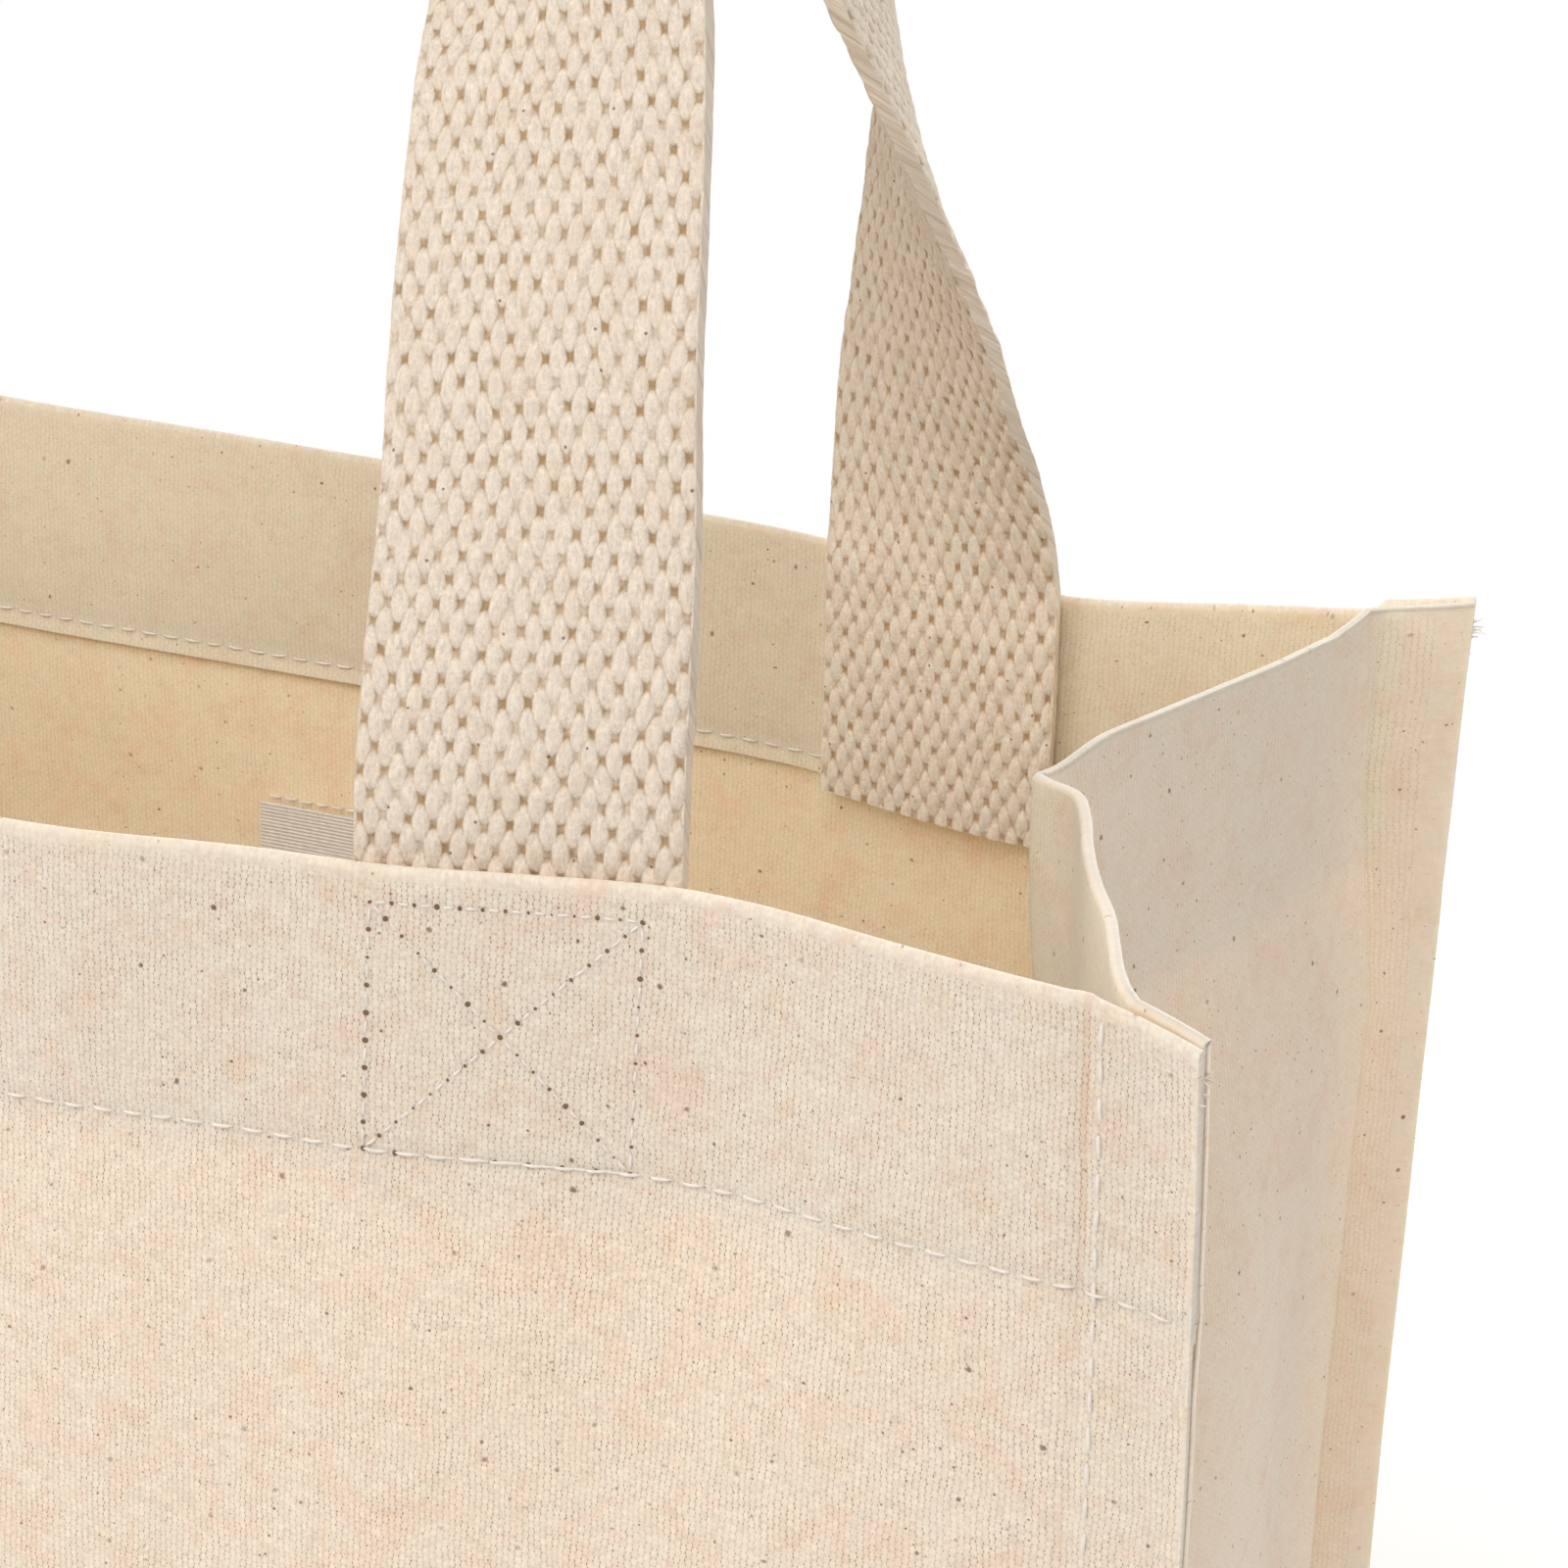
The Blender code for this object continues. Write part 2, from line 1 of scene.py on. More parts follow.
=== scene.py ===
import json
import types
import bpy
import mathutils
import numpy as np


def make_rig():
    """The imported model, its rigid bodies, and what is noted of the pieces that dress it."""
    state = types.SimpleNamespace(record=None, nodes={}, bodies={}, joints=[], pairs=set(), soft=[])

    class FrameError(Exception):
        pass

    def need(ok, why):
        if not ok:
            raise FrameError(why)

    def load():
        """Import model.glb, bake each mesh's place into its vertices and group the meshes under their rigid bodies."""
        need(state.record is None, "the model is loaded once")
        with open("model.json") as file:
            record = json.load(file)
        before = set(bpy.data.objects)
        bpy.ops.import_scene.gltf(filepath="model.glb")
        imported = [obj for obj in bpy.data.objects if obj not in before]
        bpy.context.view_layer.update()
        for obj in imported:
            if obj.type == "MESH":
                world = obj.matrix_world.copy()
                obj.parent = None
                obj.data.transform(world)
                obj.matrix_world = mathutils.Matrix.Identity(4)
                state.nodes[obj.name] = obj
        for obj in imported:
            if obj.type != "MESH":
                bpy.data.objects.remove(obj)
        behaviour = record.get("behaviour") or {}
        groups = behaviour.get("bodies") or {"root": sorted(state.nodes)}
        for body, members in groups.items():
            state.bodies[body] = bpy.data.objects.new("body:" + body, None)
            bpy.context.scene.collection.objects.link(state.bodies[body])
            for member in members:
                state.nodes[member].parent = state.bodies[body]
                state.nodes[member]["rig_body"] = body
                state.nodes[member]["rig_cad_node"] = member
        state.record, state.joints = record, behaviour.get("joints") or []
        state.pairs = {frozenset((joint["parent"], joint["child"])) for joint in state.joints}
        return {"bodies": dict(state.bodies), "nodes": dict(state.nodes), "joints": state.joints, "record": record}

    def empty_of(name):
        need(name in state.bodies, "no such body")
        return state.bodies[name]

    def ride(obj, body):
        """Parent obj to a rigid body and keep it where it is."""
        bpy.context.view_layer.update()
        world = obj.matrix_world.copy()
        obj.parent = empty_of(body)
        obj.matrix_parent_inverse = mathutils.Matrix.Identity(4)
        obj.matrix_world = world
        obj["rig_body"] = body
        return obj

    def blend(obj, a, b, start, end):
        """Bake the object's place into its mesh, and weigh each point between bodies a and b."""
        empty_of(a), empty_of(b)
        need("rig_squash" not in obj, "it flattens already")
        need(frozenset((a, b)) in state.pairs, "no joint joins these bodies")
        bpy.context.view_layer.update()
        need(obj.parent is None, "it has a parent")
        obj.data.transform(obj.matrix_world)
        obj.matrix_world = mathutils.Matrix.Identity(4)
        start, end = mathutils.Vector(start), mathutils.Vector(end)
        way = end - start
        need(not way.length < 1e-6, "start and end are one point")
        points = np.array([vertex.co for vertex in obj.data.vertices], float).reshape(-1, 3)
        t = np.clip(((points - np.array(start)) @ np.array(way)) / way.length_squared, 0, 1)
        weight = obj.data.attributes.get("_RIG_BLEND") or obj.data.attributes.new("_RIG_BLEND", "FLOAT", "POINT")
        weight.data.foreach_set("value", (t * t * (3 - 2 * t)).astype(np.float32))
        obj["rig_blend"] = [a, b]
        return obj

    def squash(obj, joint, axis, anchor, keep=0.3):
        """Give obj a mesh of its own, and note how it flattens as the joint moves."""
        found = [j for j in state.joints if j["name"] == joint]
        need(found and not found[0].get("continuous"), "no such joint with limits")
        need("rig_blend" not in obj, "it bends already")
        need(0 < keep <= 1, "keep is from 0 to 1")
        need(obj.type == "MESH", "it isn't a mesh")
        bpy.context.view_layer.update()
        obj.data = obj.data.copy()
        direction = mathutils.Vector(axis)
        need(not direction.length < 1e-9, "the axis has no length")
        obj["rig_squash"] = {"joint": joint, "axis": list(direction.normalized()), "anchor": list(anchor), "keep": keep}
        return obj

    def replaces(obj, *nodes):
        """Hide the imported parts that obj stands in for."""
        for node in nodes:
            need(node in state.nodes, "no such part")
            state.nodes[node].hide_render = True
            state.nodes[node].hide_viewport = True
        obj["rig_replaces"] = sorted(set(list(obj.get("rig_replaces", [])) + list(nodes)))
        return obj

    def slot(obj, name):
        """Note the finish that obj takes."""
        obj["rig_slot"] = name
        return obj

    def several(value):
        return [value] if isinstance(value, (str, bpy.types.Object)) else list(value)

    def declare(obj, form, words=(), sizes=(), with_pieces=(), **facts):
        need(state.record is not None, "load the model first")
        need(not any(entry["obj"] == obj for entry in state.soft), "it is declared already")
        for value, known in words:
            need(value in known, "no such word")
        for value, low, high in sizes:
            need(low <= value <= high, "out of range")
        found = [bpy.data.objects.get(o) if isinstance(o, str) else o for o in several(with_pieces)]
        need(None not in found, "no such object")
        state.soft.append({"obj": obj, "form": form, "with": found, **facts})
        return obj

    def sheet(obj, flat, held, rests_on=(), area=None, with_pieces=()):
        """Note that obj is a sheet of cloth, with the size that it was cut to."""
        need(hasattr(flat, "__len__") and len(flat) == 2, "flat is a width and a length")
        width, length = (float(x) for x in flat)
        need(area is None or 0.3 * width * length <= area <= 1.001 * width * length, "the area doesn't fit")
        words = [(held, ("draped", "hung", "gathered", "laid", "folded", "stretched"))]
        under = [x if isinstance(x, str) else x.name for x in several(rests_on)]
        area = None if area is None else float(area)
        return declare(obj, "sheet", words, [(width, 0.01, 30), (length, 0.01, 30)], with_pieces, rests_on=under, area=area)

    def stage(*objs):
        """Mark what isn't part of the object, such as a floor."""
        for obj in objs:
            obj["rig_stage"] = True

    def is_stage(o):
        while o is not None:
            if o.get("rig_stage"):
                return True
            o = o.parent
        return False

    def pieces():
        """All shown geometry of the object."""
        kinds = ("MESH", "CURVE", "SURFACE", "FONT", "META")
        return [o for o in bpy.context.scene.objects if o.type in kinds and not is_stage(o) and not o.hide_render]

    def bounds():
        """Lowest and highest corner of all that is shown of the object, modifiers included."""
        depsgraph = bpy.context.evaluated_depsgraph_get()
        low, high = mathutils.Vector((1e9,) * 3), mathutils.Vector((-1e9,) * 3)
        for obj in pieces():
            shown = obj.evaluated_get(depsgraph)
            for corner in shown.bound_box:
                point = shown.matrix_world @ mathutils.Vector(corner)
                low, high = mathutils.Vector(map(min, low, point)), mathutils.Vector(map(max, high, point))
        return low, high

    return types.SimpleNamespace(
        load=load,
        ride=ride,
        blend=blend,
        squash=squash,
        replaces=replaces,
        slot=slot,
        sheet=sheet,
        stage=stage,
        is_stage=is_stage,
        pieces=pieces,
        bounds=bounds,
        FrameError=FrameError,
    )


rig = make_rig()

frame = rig.load()

# %% [markdown]
# # A small canvas tote bag
#
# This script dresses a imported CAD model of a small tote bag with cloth, webbing and
# thread, and sets it in front of a camera in a soft white studio.
# The bag is a box of five cotton canvas panels. Its two side gussets fold in at the
# rim, and each long wall carries one handle of cotton webbing sewn inside the hem.
#
# The CAD gives the sizes, the moving parts and the joints. Its panels are flat plates,
# so every soft piece is made again here as bent cloth, and the plate behind it is hidden.
# Lengths are in metres in code and in millimetres in tables, with +Z up. The front
# wall looks along -Y.

# %% Tools
import json
import math

import bpy
import numpy as np
from mathutils import Matrix, Vector

cad_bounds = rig.bounds()
MM = 0.001
print("CAD pieces:", len(frame["nodes"]), "joints:", [j["name"] for j in frame["joints"]])

# %% [markdown]
# ## Sizes
#
# The names are the CAD's own. The panel leans in by less than one degree, because the
# folded gusset makes the mouth a little shallower than the bottom. `CANVAS` is one layer
# in the CAD, and `CLOTH` is the thinner layer that is drawn.

# %% Sizes of the bag
BODY_WIDTH = 0.250
BODY_HEIGHT = 0.230
BOTTOM_DEPTH = 0.127
FOLD_DEPTH = 0.0208
CANVAS = 0.0009
CLOTH = 0.00065
SEAM_FLANGE = 0.0104
HEM_STITCH = 0.0265
HEM_DEPTH = 0.0285
HALF_WIDTH = BODY_WIDTH / 2
MOUTH_DEPTH = 2 * math.sqrt((BOTTOM_DEPTH / 2) ** 2 - FOLD_DEPTH**2)
RUN_IN = (BOTTOM_DEPTH - MOUTH_DEPTH) / 2
PANEL_LEAN = math.asin(RUN_IN / BODY_HEIGHT)
RIM_Z = BODY_HEIGHT * math.cos(PANEL_LEAN)
print("mouth depth mm:", round(MOUTH_DEPTH / MM, 1), "rim height mm:", round(RIM_Z / MM, 2))

# %% Sizes of the handles
NOMINAL_WEBBING = 0.030
WEBBING_WIDTH = 0.0291
WEBBING_THICKNESS = 0.0022
LEG_X = HALF_WIDTH - 0.035 - NOMINAL_WEBBING / 2
SEWN_LENGTH = 0.0293
HANDLE_DROP = 0.130
FOLD_OFFSET = 0.0027
WEBBING_MID_Y = 0.0032
ARCH_LEAN = MOUTH_DEPTH / 2 - WEBBING_MID_Y - NOMINAL_WEBBING / 2 - 0.0006
print("handle leg from the middle mm:", LEG_X / MM)

# %% [markdown]
# ## Helpers
#
# Each wall has its own frame: x to the side, y inward from the wall's outer face, and
# height up the cloth. `place` turns that into the bag's frame for the front wall, and
# for the back wall by half a turn about the bag's middle.


# %% Wall frame and mesh helpers
def place(front, x, inward, height):
    """A point or an array of points of one wall, in the bag's frame."""
    y = -BOTTOM_DEPTH / 2 + inward * math.cos(PANEL_LEAN) + height * math.sin(PANEL_LEAN)
    z = height * math.cos(PANEL_LEAN) - inward * math.sin(PANEL_LEAN)
    x, y, z = np.broadcast_arrays(x, y, z)
    if not front:
        x, y = -x, -y
    return np.stack([x, y, z], axis=-1)


def smooth_table(pairs):
    """A function through (place, value) pairs in mm that rounds every corner."""
    xs = np.array([p[0] for p in pairs], float)
    ys = np.array([p[1] for p in pairs], float)
    slopes = np.gradient(ys, xs)

    def value(at):
        at = np.clip(np.asarray(at, float), xs[0], xs[-1])
        i = np.clip(np.searchsorted(xs, at, side="right") - 1, 0, len(xs) - 2)
        wide = xs[i + 1] - xs[i]
        t = (at - xs[i]) / wide
        low = (2 * t**3 - 3 * t**2 + 1) * ys[i] + (t**3 - 2 * t**2 + t) * wide * slopes[i]
        high = (3 * t**2 - 2 * t**3) * ys[i + 1] + (t**3 - t**2) * wide * slopes[i + 1]
        return low + high

    return value


def soft_noise(a, b, size, seed):
    """Smooth random waves over two coordinates in mm, about -1 to 1, the same every run."""
    rng = np.random.default_rng(seed)
    total = np.zeros(np.broadcast(a, b).shape)
    for _ in range(7):
        turn = rng.uniform(0, 2 * math.pi)
        rate = 2 * math.pi / (size * rng.uniform(0.7, 1.6))
        phase = rng.uniform(0, 2 * math.pi)
        total = total + np.sin(rate * (a * math.cos(turn) + b * math.sin(turn)) + phase)
    return total / 3.0


def eased(share):
    """A share from 0 to 1 that starts and ends softly."""
    return share * share * (3 - 2 * share)


def unit(vectors):
    """Vectors cut to length one."""
    return vectors / np.linalg.norm(vectors, axis=-1, keepdims=True)


def travel_along(points):
    """How far each point of a line lies from its first one, along the line."""
    return np.concatenate([[0], np.cumsum(np.linalg.norm(np.diff(points, axis=0), axis=1))])


def grid_normals(points):
    """The upward normal of a grid of points, by the slopes along its rows and columns."""
    down = np.gradient(points, axis=0)
    across = np.gradient(points, axis=1)
    normal = np.cross(across, down)
    return normal / np.maximum(np.linalg.norm(normal, axis=-1, keepdims=True), 1e-12)


SHARP_EDGE = math.radians(50)


def cloth_mesh(name, grids, uvs, material):
    """One closed mesh from two grids that face each other and share a rim.

    uvs holds the flat place on the cloth in mm, one pair per point of each grid.
    """
    rows, columns = grids[0].shape[:2]
    count = rows * columns
    index = np.arange(count).reshape(rows, columns)
    a, b = index[:-1, :-1].ravel(), index[:-1, 1:].ravel()
    c, d = index[1:, 1:].ravel(), index[1:, :-1].ravel()
    front = np.stack([a, b, c, d], axis=1)
    back = np.stack([d, c, b, a], axis=1) + count
    around = np.concatenate([index[0, :-1], index[:-1, -1], index[-1, :0:-1], index[:0:-1, 0]])
    nxt = np.roll(around, -1)
    edge = np.stack([nxt, around, around + count, nxt + count], axis=1)
    faces = np.concatenate([front, back, edge])
    points = np.concatenate([g.reshape(-1, 3) for g in grids])
    flat = np.concatenate([u.reshape(-1, 2) for u in uvs])
    mesh = bpy.data.meshes.new(name)
    mesh.vertices.add(len(points))
    mesh.vertices.foreach_set("co", points.astype(np.float32).ravel())
    mesh.loops.add(len(faces) * 4)
    mesh.loops.foreach_set("vertex_index", faces.astype(np.int32).ravel())
    mesh.polygons.add(len(faces))
    mesh.polygons.foreach_set("loop_start", np.arange(0, len(faces) * 4, 4, dtype=np.int32))
    mesh.update(calc_edges=True)
    layer = mesh.uv_layers.new(name="cloth")
    layer.data.foreach_set("uv", flat[faces.ravel()].astype(np.float32).ravel())
    mesh.materials.append(material)
    mesh.validate()
    mesh.shade_smooth()
    mesh.set_sharp_from_angle(angle=SHARP_EDGE)
    thing = bpy.data.objects.new(name, mesh)
    bpy.context.collection.objects.link(thing)
    return thing


def sheet_of(name, middle, uv, material, thickness=CLOTH):
    """A closed sheet of cloth: both faces stand half a thickness off its middle grid."""
    normal = grid_normals(middle) * thickness / 2
    return cloth_mesh(name, [middle + normal, middle - normal], [uv, uv], material)


def line_inside(thing, middle, material):
    """Give every face of a sheet that looks at the bag's inside a second material."""
    mesh = thing.data
    mesh.materials.append(material)
    count = len(mesh.polygons)
    centre = np.zeros(count * 3, np.float32)
    normal = np.zeros(count * 3, np.float32)
    mesh.polygons.foreach_get("center", centre)
    mesh.polygons.foreach_get("normal", normal)
    centre = centre.reshape(-1, 3)
    toward = np.array(middle, np.float32) - centre
    facing = np.sum(toward * normal.reshape(-1, 3), axis=1) > 0
    facing &= np.abs(centre[:, 0]) < HALF_WIDTH + 0.003
    mesh.polygons.foreach_set("material_index", facing.astype(np.int32))


def even_weights(thing, low_y, high_y):
    """Let a blended piece follow the back wall in step with how far back each point lies."""
    count = len(thing.data.vertices)
    co = np.zeros(count * 3, np.float32)
    thing.data.vertices.foreach_get("co", co)
    y = co.reshape(-1, 3)[:, 1]
    weight = np.clip((y - low_y) / (high_y - low_y), 0, 1).astype(np.float32)
    thing.data.attributes["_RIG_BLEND"].data.foreach_set("value", weight)


print("helpers ready")

# %% [markdown]
# ## Materials
#
# Every surface is made of thread. The cloth's flat place is stored in millimetres in a UV
# map, so each pattern is written with the thread counts measured on the bag: canvas has
# a thread every 0.57 mm across and every 0.79 mm up, and the webbing is 26 cords wide.
# One function makes a node, sets it and links it. A Number stands for what a node gives,
# and sums written with it add the Math nodes.


# %% Colour and node helpers
def srgb(text):
    """One sRGB hex colour as the linear values that a shader takes."""
    channels = [int(text[i : i + 2], 16) / 255 for i in (1, 3, 5)]
    linear = [c / 12.92 if c <= 0.04045 else ((c + 0.055) / 1.055) ** 2.4 for c in channels]
    return (*linear, 1)


def find_input(made, key):
    """A node's input by its number, as in i0, or by its name with _ for a space."""
    return made.inputs[int(key[1:])] if key[1:].isdigit() else made.inputs[key.replace("_", " ")]


def node(tree, kind, settings=None, **inputs):
    """Add one node. settings are its own fields, and inputs are values or outputs to link."""
    made = tree.nodes.new(kind)
    for key, value in (settings or {}).items():
        setattr(made, key, value)
    for key, value in inputs.items():
        value = getattr(value, "socket", value)
        if isinstance(value, bpy.types.NodeSocket):
            tree.links.new(value, find_input(made, key))
        else:
            find_input(made, key).default_value = value
    return made


def set_inputs(shader, **values):
    """Set inputs of a shader to plain values."""
    for key, value in values.items():
        find_input(shader, key).default_value = value


def math_node(tree, operation, a, b=0.0, c=0.0):
    """One step of arithmetic, as a Number."""
    made = node(tree, "ShaderNodeMath", {"operation": operation}, i0=a, i1=b, i2=c)
    return Number(made.outputs[0])


class Number:
    """A number that a shader works out, so that patterns below read as formulas."""

    def __init__(self, socket):
        self.socket = socket

    def step(self, operation, b=0.0, c=0.0):
        """One Math node with this number in its first place."""
        return math_node(self.socket.id_data, operation, self, b, c)

    def __add__(self, other):
        return self.step("ADD", other)

    def __sub__(self, other):
        return self.step("SUBTRACT", other)

    def __rsub__(self, other):
        return math_node(self.socket.id_data, "SUBTRACT", other, self)

    def __mul__(self, other):
        return self.step("MULTIPLY", other)

    def __truediv__(self, other):
        return self.step("DIVIDE", other)

    def __mod__(self, other):
        return self.step("MODULO", other)

    def __pow__(self, other):
        return self.step("POWER", other)

    def __abs__(self):
        return self.step("ABSOLUTE")

    def __floor__(self):
        return self.step("FLOOR")

    def __round__(self):
        return self.step("ROUND")

    def times_plus(self, b, c):
        """This number times b, plus c."""
        return self.step("MULTIPLY_ADD", b, c)

    def larger(self, other):
        """The larger of two numbers."""
        return self.step("MAXIMUM", other)

    def ramp(self, low, high, out_low=0.0, out_high=1.0):
        """Stretched from one range to another, held at its ends, with a soft turn."""
        ends = {"i1": low, "i2": high, "i3": out_low, "i4": out_high}
        soft = {"interpolation_type": "SMOOTHSTEP"}
        made = node(self.socket.id_data, "ShaderNodeMapRange", soft, i0=self, **ends)
        return Number(made.outputs[0])


def parts_of(tree, value, kind="XYZ"):
    """The three numbers in a place or in a colour."""
    made = node(tree, f"ShaderNodeSeparate{kind}", None, i0=value)
    return [Number(part) for part in made.outputs]


def mix(tree, share, a, b, blend="MIX"):
    """Two colours mixed by a share."""
    fields = {"data_type": "RGBA", "blend_type": blend}
    return node(tree, "ShaderNodeMix", fields, i0=share, i6=a, i7=b).outputs[2]


def shaded(tree, colour, shade):
    """A colour times a number."""
    grey = node(tree, "ShaderNodeCombineColor", None, i0=shade, i1=shade, i2=shade).outputs[0]
    return mix(tree, 1.0, colour, grey, "MULTIPLY")


def new_material(name):
    """An empty material with its shader, and the cloth's flat place in mm."""
    made = bpy.data.materials.new(name)
    made.use_nodes = True
    tree = made.node_tree
    shader = tree.nodes["Principled BSDF"]
    shader.inputs["Metallic"].default_value = 0.0
    flat = node(tree, "ShaderNodeUVMap", {"uv_map": "cloth"}).outputs[0]
    return made, tree, shader, flat


def add_bump(tree, shader, height, strength, distance):
    """Roughen a surface. distance is what a height of 1 stands for, in metres."""
    bump = node(tree, "ShaderNodeBump", None, Strength=strength, Distance=distance, Height=height)
    tree.links.new(bump.outputs[0], shader.inputs["Normal"])


def noise_at(tree, where, scale, detail=2.0, rough=0.5, distort=0.0):
    """Smooth noise of a place in mm, where scale is in waves per mm."""
    shape = {"Scale": scale, "Detail": detail, "Roughness": rough, "Distortion": distort}
    return Number(node(tree, "ShaderNodeTexNoise", None, Vector=where, **shape).outputs[0])


def stretched(tree, where, x, y, turn=0.0):
    """A place scaled by x and y, for patterns that run along one thread."""
    change = {"Scale": (x, y, 1.0), "Rotation": (0, 0, turn)}
    return node(tree, "ShaderNodeMapping", None, Vector=where, **change).outputs[0]


# %% [markdown]
# ### Cotton canvas
#
# The real cloth is unbleached cotton in a plain weave, coloured by its own seed oils. It
# shows small dark pinholes where threads cross, long slubs, faint pink and orange
# blotches, and brown flecks of seed coat. Bump gives the threads, because one thread is
# four pixels wide in the picture. The folds, hems and sag are geometry.
#
# The cloth is thin enough for daylight to pass. That is why the inside of the real bag
# glows warm and isn't dark. Subsurface scattering with a reach of one cloth thickness
# does the same here. Small functions each make one part of the pattern.


# %% Canvas patterns
WARP_PITCH = 0.57
WEFT_PITCH = 0.79
RIM_PLACE = BODY_HEIGHT / MM - 0.12
TIP_PLACE = (HALF_WIDTH + SEAM_FLANGE) / MM


def worn_edges(tree, flat):
    """1 on open cloth, and near 0 where it turns over the rim or ends at a flange's tip.

    The weave fades there, because the eye sees a worn smooth edge.
    """
    x, y, _ = parts_of(tree, flat)
    at_rim = abs(y - RIM_PLACE).ramp(0.7, 1.6, 0.15, 1.0)
    at_tip = abs(x).ramp(TIP_PLACE - 0.6, TIP_PLACE - 0.1, 1.0, 0.1)
    return at_rim * at_tip


def weave_pattern(tree, flat):
    """A place that wanders as threads do, the threads' height there, and the pinholes."""
    plane = {"noise_dimensions": "2D"}
    wobble = node(tree, "ShaderNodeTexNoise", plane, Vector=flat, Scale=0.22, Detail=4.0).outputs[1]
    shift = {"operation": "MULTIPLY_ADD"}
    reach = (0.8, 0.8, 0)
    shifted = node(tree, "ShaderNodeVectorMath", shift, i0=wobble, i1=reach, i2=flat).outputs[0]
    x, y, _ = parts_of(tree, shifted)
    across = x / WARP_PITCH
    odd = abs(math.floor(across) % 2.0) * 0.5
    up = y / WEFT_PITCH + odd
    warp_side = abs((across * math.pi).step("SINE"))
    weft_side = abs((up * math.pi).step("SINE"))
    hill = (warp_side * weft_side) ** 0.5
    hole = warp_side.ramp(0.15, 0.78, 1.0, 0.0) * weft_side.ramp(0.18, 0.78, 1.0, 0.0)
    each = stretched(tree, flat, 1 / WARP_PITCH, 1 / WEFT_PITCH)
    thread_pick = noise_at(tree, each, 1.05, 1.0, 0.5)
    patchy = noise_at(tree, flat, 0.30, 3.0, 0.65).ramp(0.34, 0.66)
    keep = patchy.times_plus(0.6, 0.4) * thread_pick.ramp(0.34, 0.62, 0.35, 1.3)
    calm = worn_edges(tree, flat)
    hill = (hill - 0.6).times_plus(calm, 0.6)
    return shifted, hill, hole * keep * calm


def seed_flecks(tree, shifted, grain, share):
    """Brown flecks of seed coat in two sizes, with ragged edges. share is how many stay."""
    ragged = grain.times_plus(1.6, 0.2)
    kind = {"voronoi_dimensions": "2D", "feature": "F1"}
    flecks = None
    for size, part, grow in ((0.30, share, 0.05), (0.62, share * 0.8, 0.06)):
        cells = node(tree, "ShaderNodeTexVoronoi", kind, Vector=shifted, Scale=size)
        red, green, blue = parts_of(tree, cells.outputs["Color"], "Color")
        wide = (red**4.0).times_plus(grow, 0.024)
        near = Number(cells.outputs["Distance"]) * ragged / wide
        fleck = near.ramp(0.5, 1.6, 1.0, 0.0) * green.step("LESS_THAN", part)
        fleck = fleck * blue.times_plus(0.7, 0.2)
        flecks = fleck if flecks is None else flecks.larger(fleck)
    return flecks


def blotched(tree, flat, base):
    """The cloth's own colour with faint pink, orange and olive blotches."""
    pink = noise_at(tree, flat, 0.13, 6.0, 0.75, 0.8).ramp(0.47, 0.66)
    tilted = stretched(tree, flat, 1.0, 0.8, 0.7)
    orange = noise_at(tree, tilted, 0.21, 6.0, 0.75).ramp(0.50, 0.70)
    tilted = stretched(tree, flat, 0.8, 1.0, 1.1)
    olive = noise_at(tree, tilted, 0.17, 6.0, 0.75).ramp(0.52, 0.70)
    colour = mix(tree, pink * 0.24, base, srgb("#f2bfa6"))
    colour = mix(tree, orange * 0.20, colour, srgb("#e6bd8b"))
    return mix(tree, olive * 0.16, colour, srgb("#cdbb95"))


def seam_crease(tree, flat, hole, colour):
    """The worn line just outside each corner seam, near the rim, broken up by the weave."""
    x, y, _ = parts_of(tree, flat)
    from_seam = abs(x) - (HALF_WIDTH / MM + 0.3)
    band = abs(from_seam).ramp(0.15, 0.8, 1.0, 0.0)
    high = y.ramp(BODY_HEIGHT / MM - 34, BODY_HEIGHT / MM - 18)
    worn = band * high * hole.times_plus(0.9, 0.16)
    return mix(tree, worn, colour, srgb("#c98f58"))


print("threads of canvas in 10 mm:", round(10 / WARP_PITCH, 1), "by", round(10 / WEFT_PITCH, 1))


# %% Canvas material
def canvas_material(name, base, weave=1.0, flecked=0.6, creased=False):
    """Plain weave of unbleached cotton: gives the eye pinholes, slubs, blotches and flecks.

    weave is how strongly the threads show. creased adds the worn line by a corner seam.
    """
    made, tree, shader, flat = new_material(name)
    shifted, hill, hole = weave_pattern(tree, flat)
    slub_up = noise_at(tree, stretched(tree, flat, 1.9, 0.5), 1.0, 3.0, 0.7)
    slub_across = noise_at(tree, stretched(tree, flat, 0.45, 1.4), 1.0, 3.0, 0.7)
    grain = noise_at(tree, flat, 2.4, 3.0, 0.75)
    slub = slub_up + slub_across + grain
    shade = slub.times_plus(0.34 * weave, 1.0 - 0.55 * weave)
    shade = hill.times_plus(0.07 * weave, shade)
    colour = shaded(tree, blotched(tree, flat, base), shade)
    colour = mix(tree, hole * (0.78 * weave), colour, srgb("#94714b"))
    colour = mix(tree, seed_flecks(tree, shifted, grain, flecked), colour, srgb("#6d4a33"))
    if creased:
        colour = seam_crease(tree, flat, hole, colour)
    tree.links.new(colour, shader.inputs["Base Color"])
    set_inputs(shader, Roughness=0.92, Specular_IOR_Level=0.2)
    set_inputs(shader, Subsurface_Weight=0.85, Subsurface_Scale=0.0009)
    set_inputs(shader, Subsurface_Radius=(1.0, 0.97, 0.92))
    set_inputs(shader, Sheen_Weight=0.12, Sheen_Roughness=0.5)
    height = slub.times_plus(0.55, hole.times_plus(-0.5, hill))
    add_bump(tree, shader, height, 0.36 * weave, 0.00013)
    return made


# The walls' outer face: full weave, so the eye reads threads, pinholes and the worn seam line.
canvas = canvas_material("cotton_canvas_plain_weave", srgb("#f0e1cf"), creased=True)
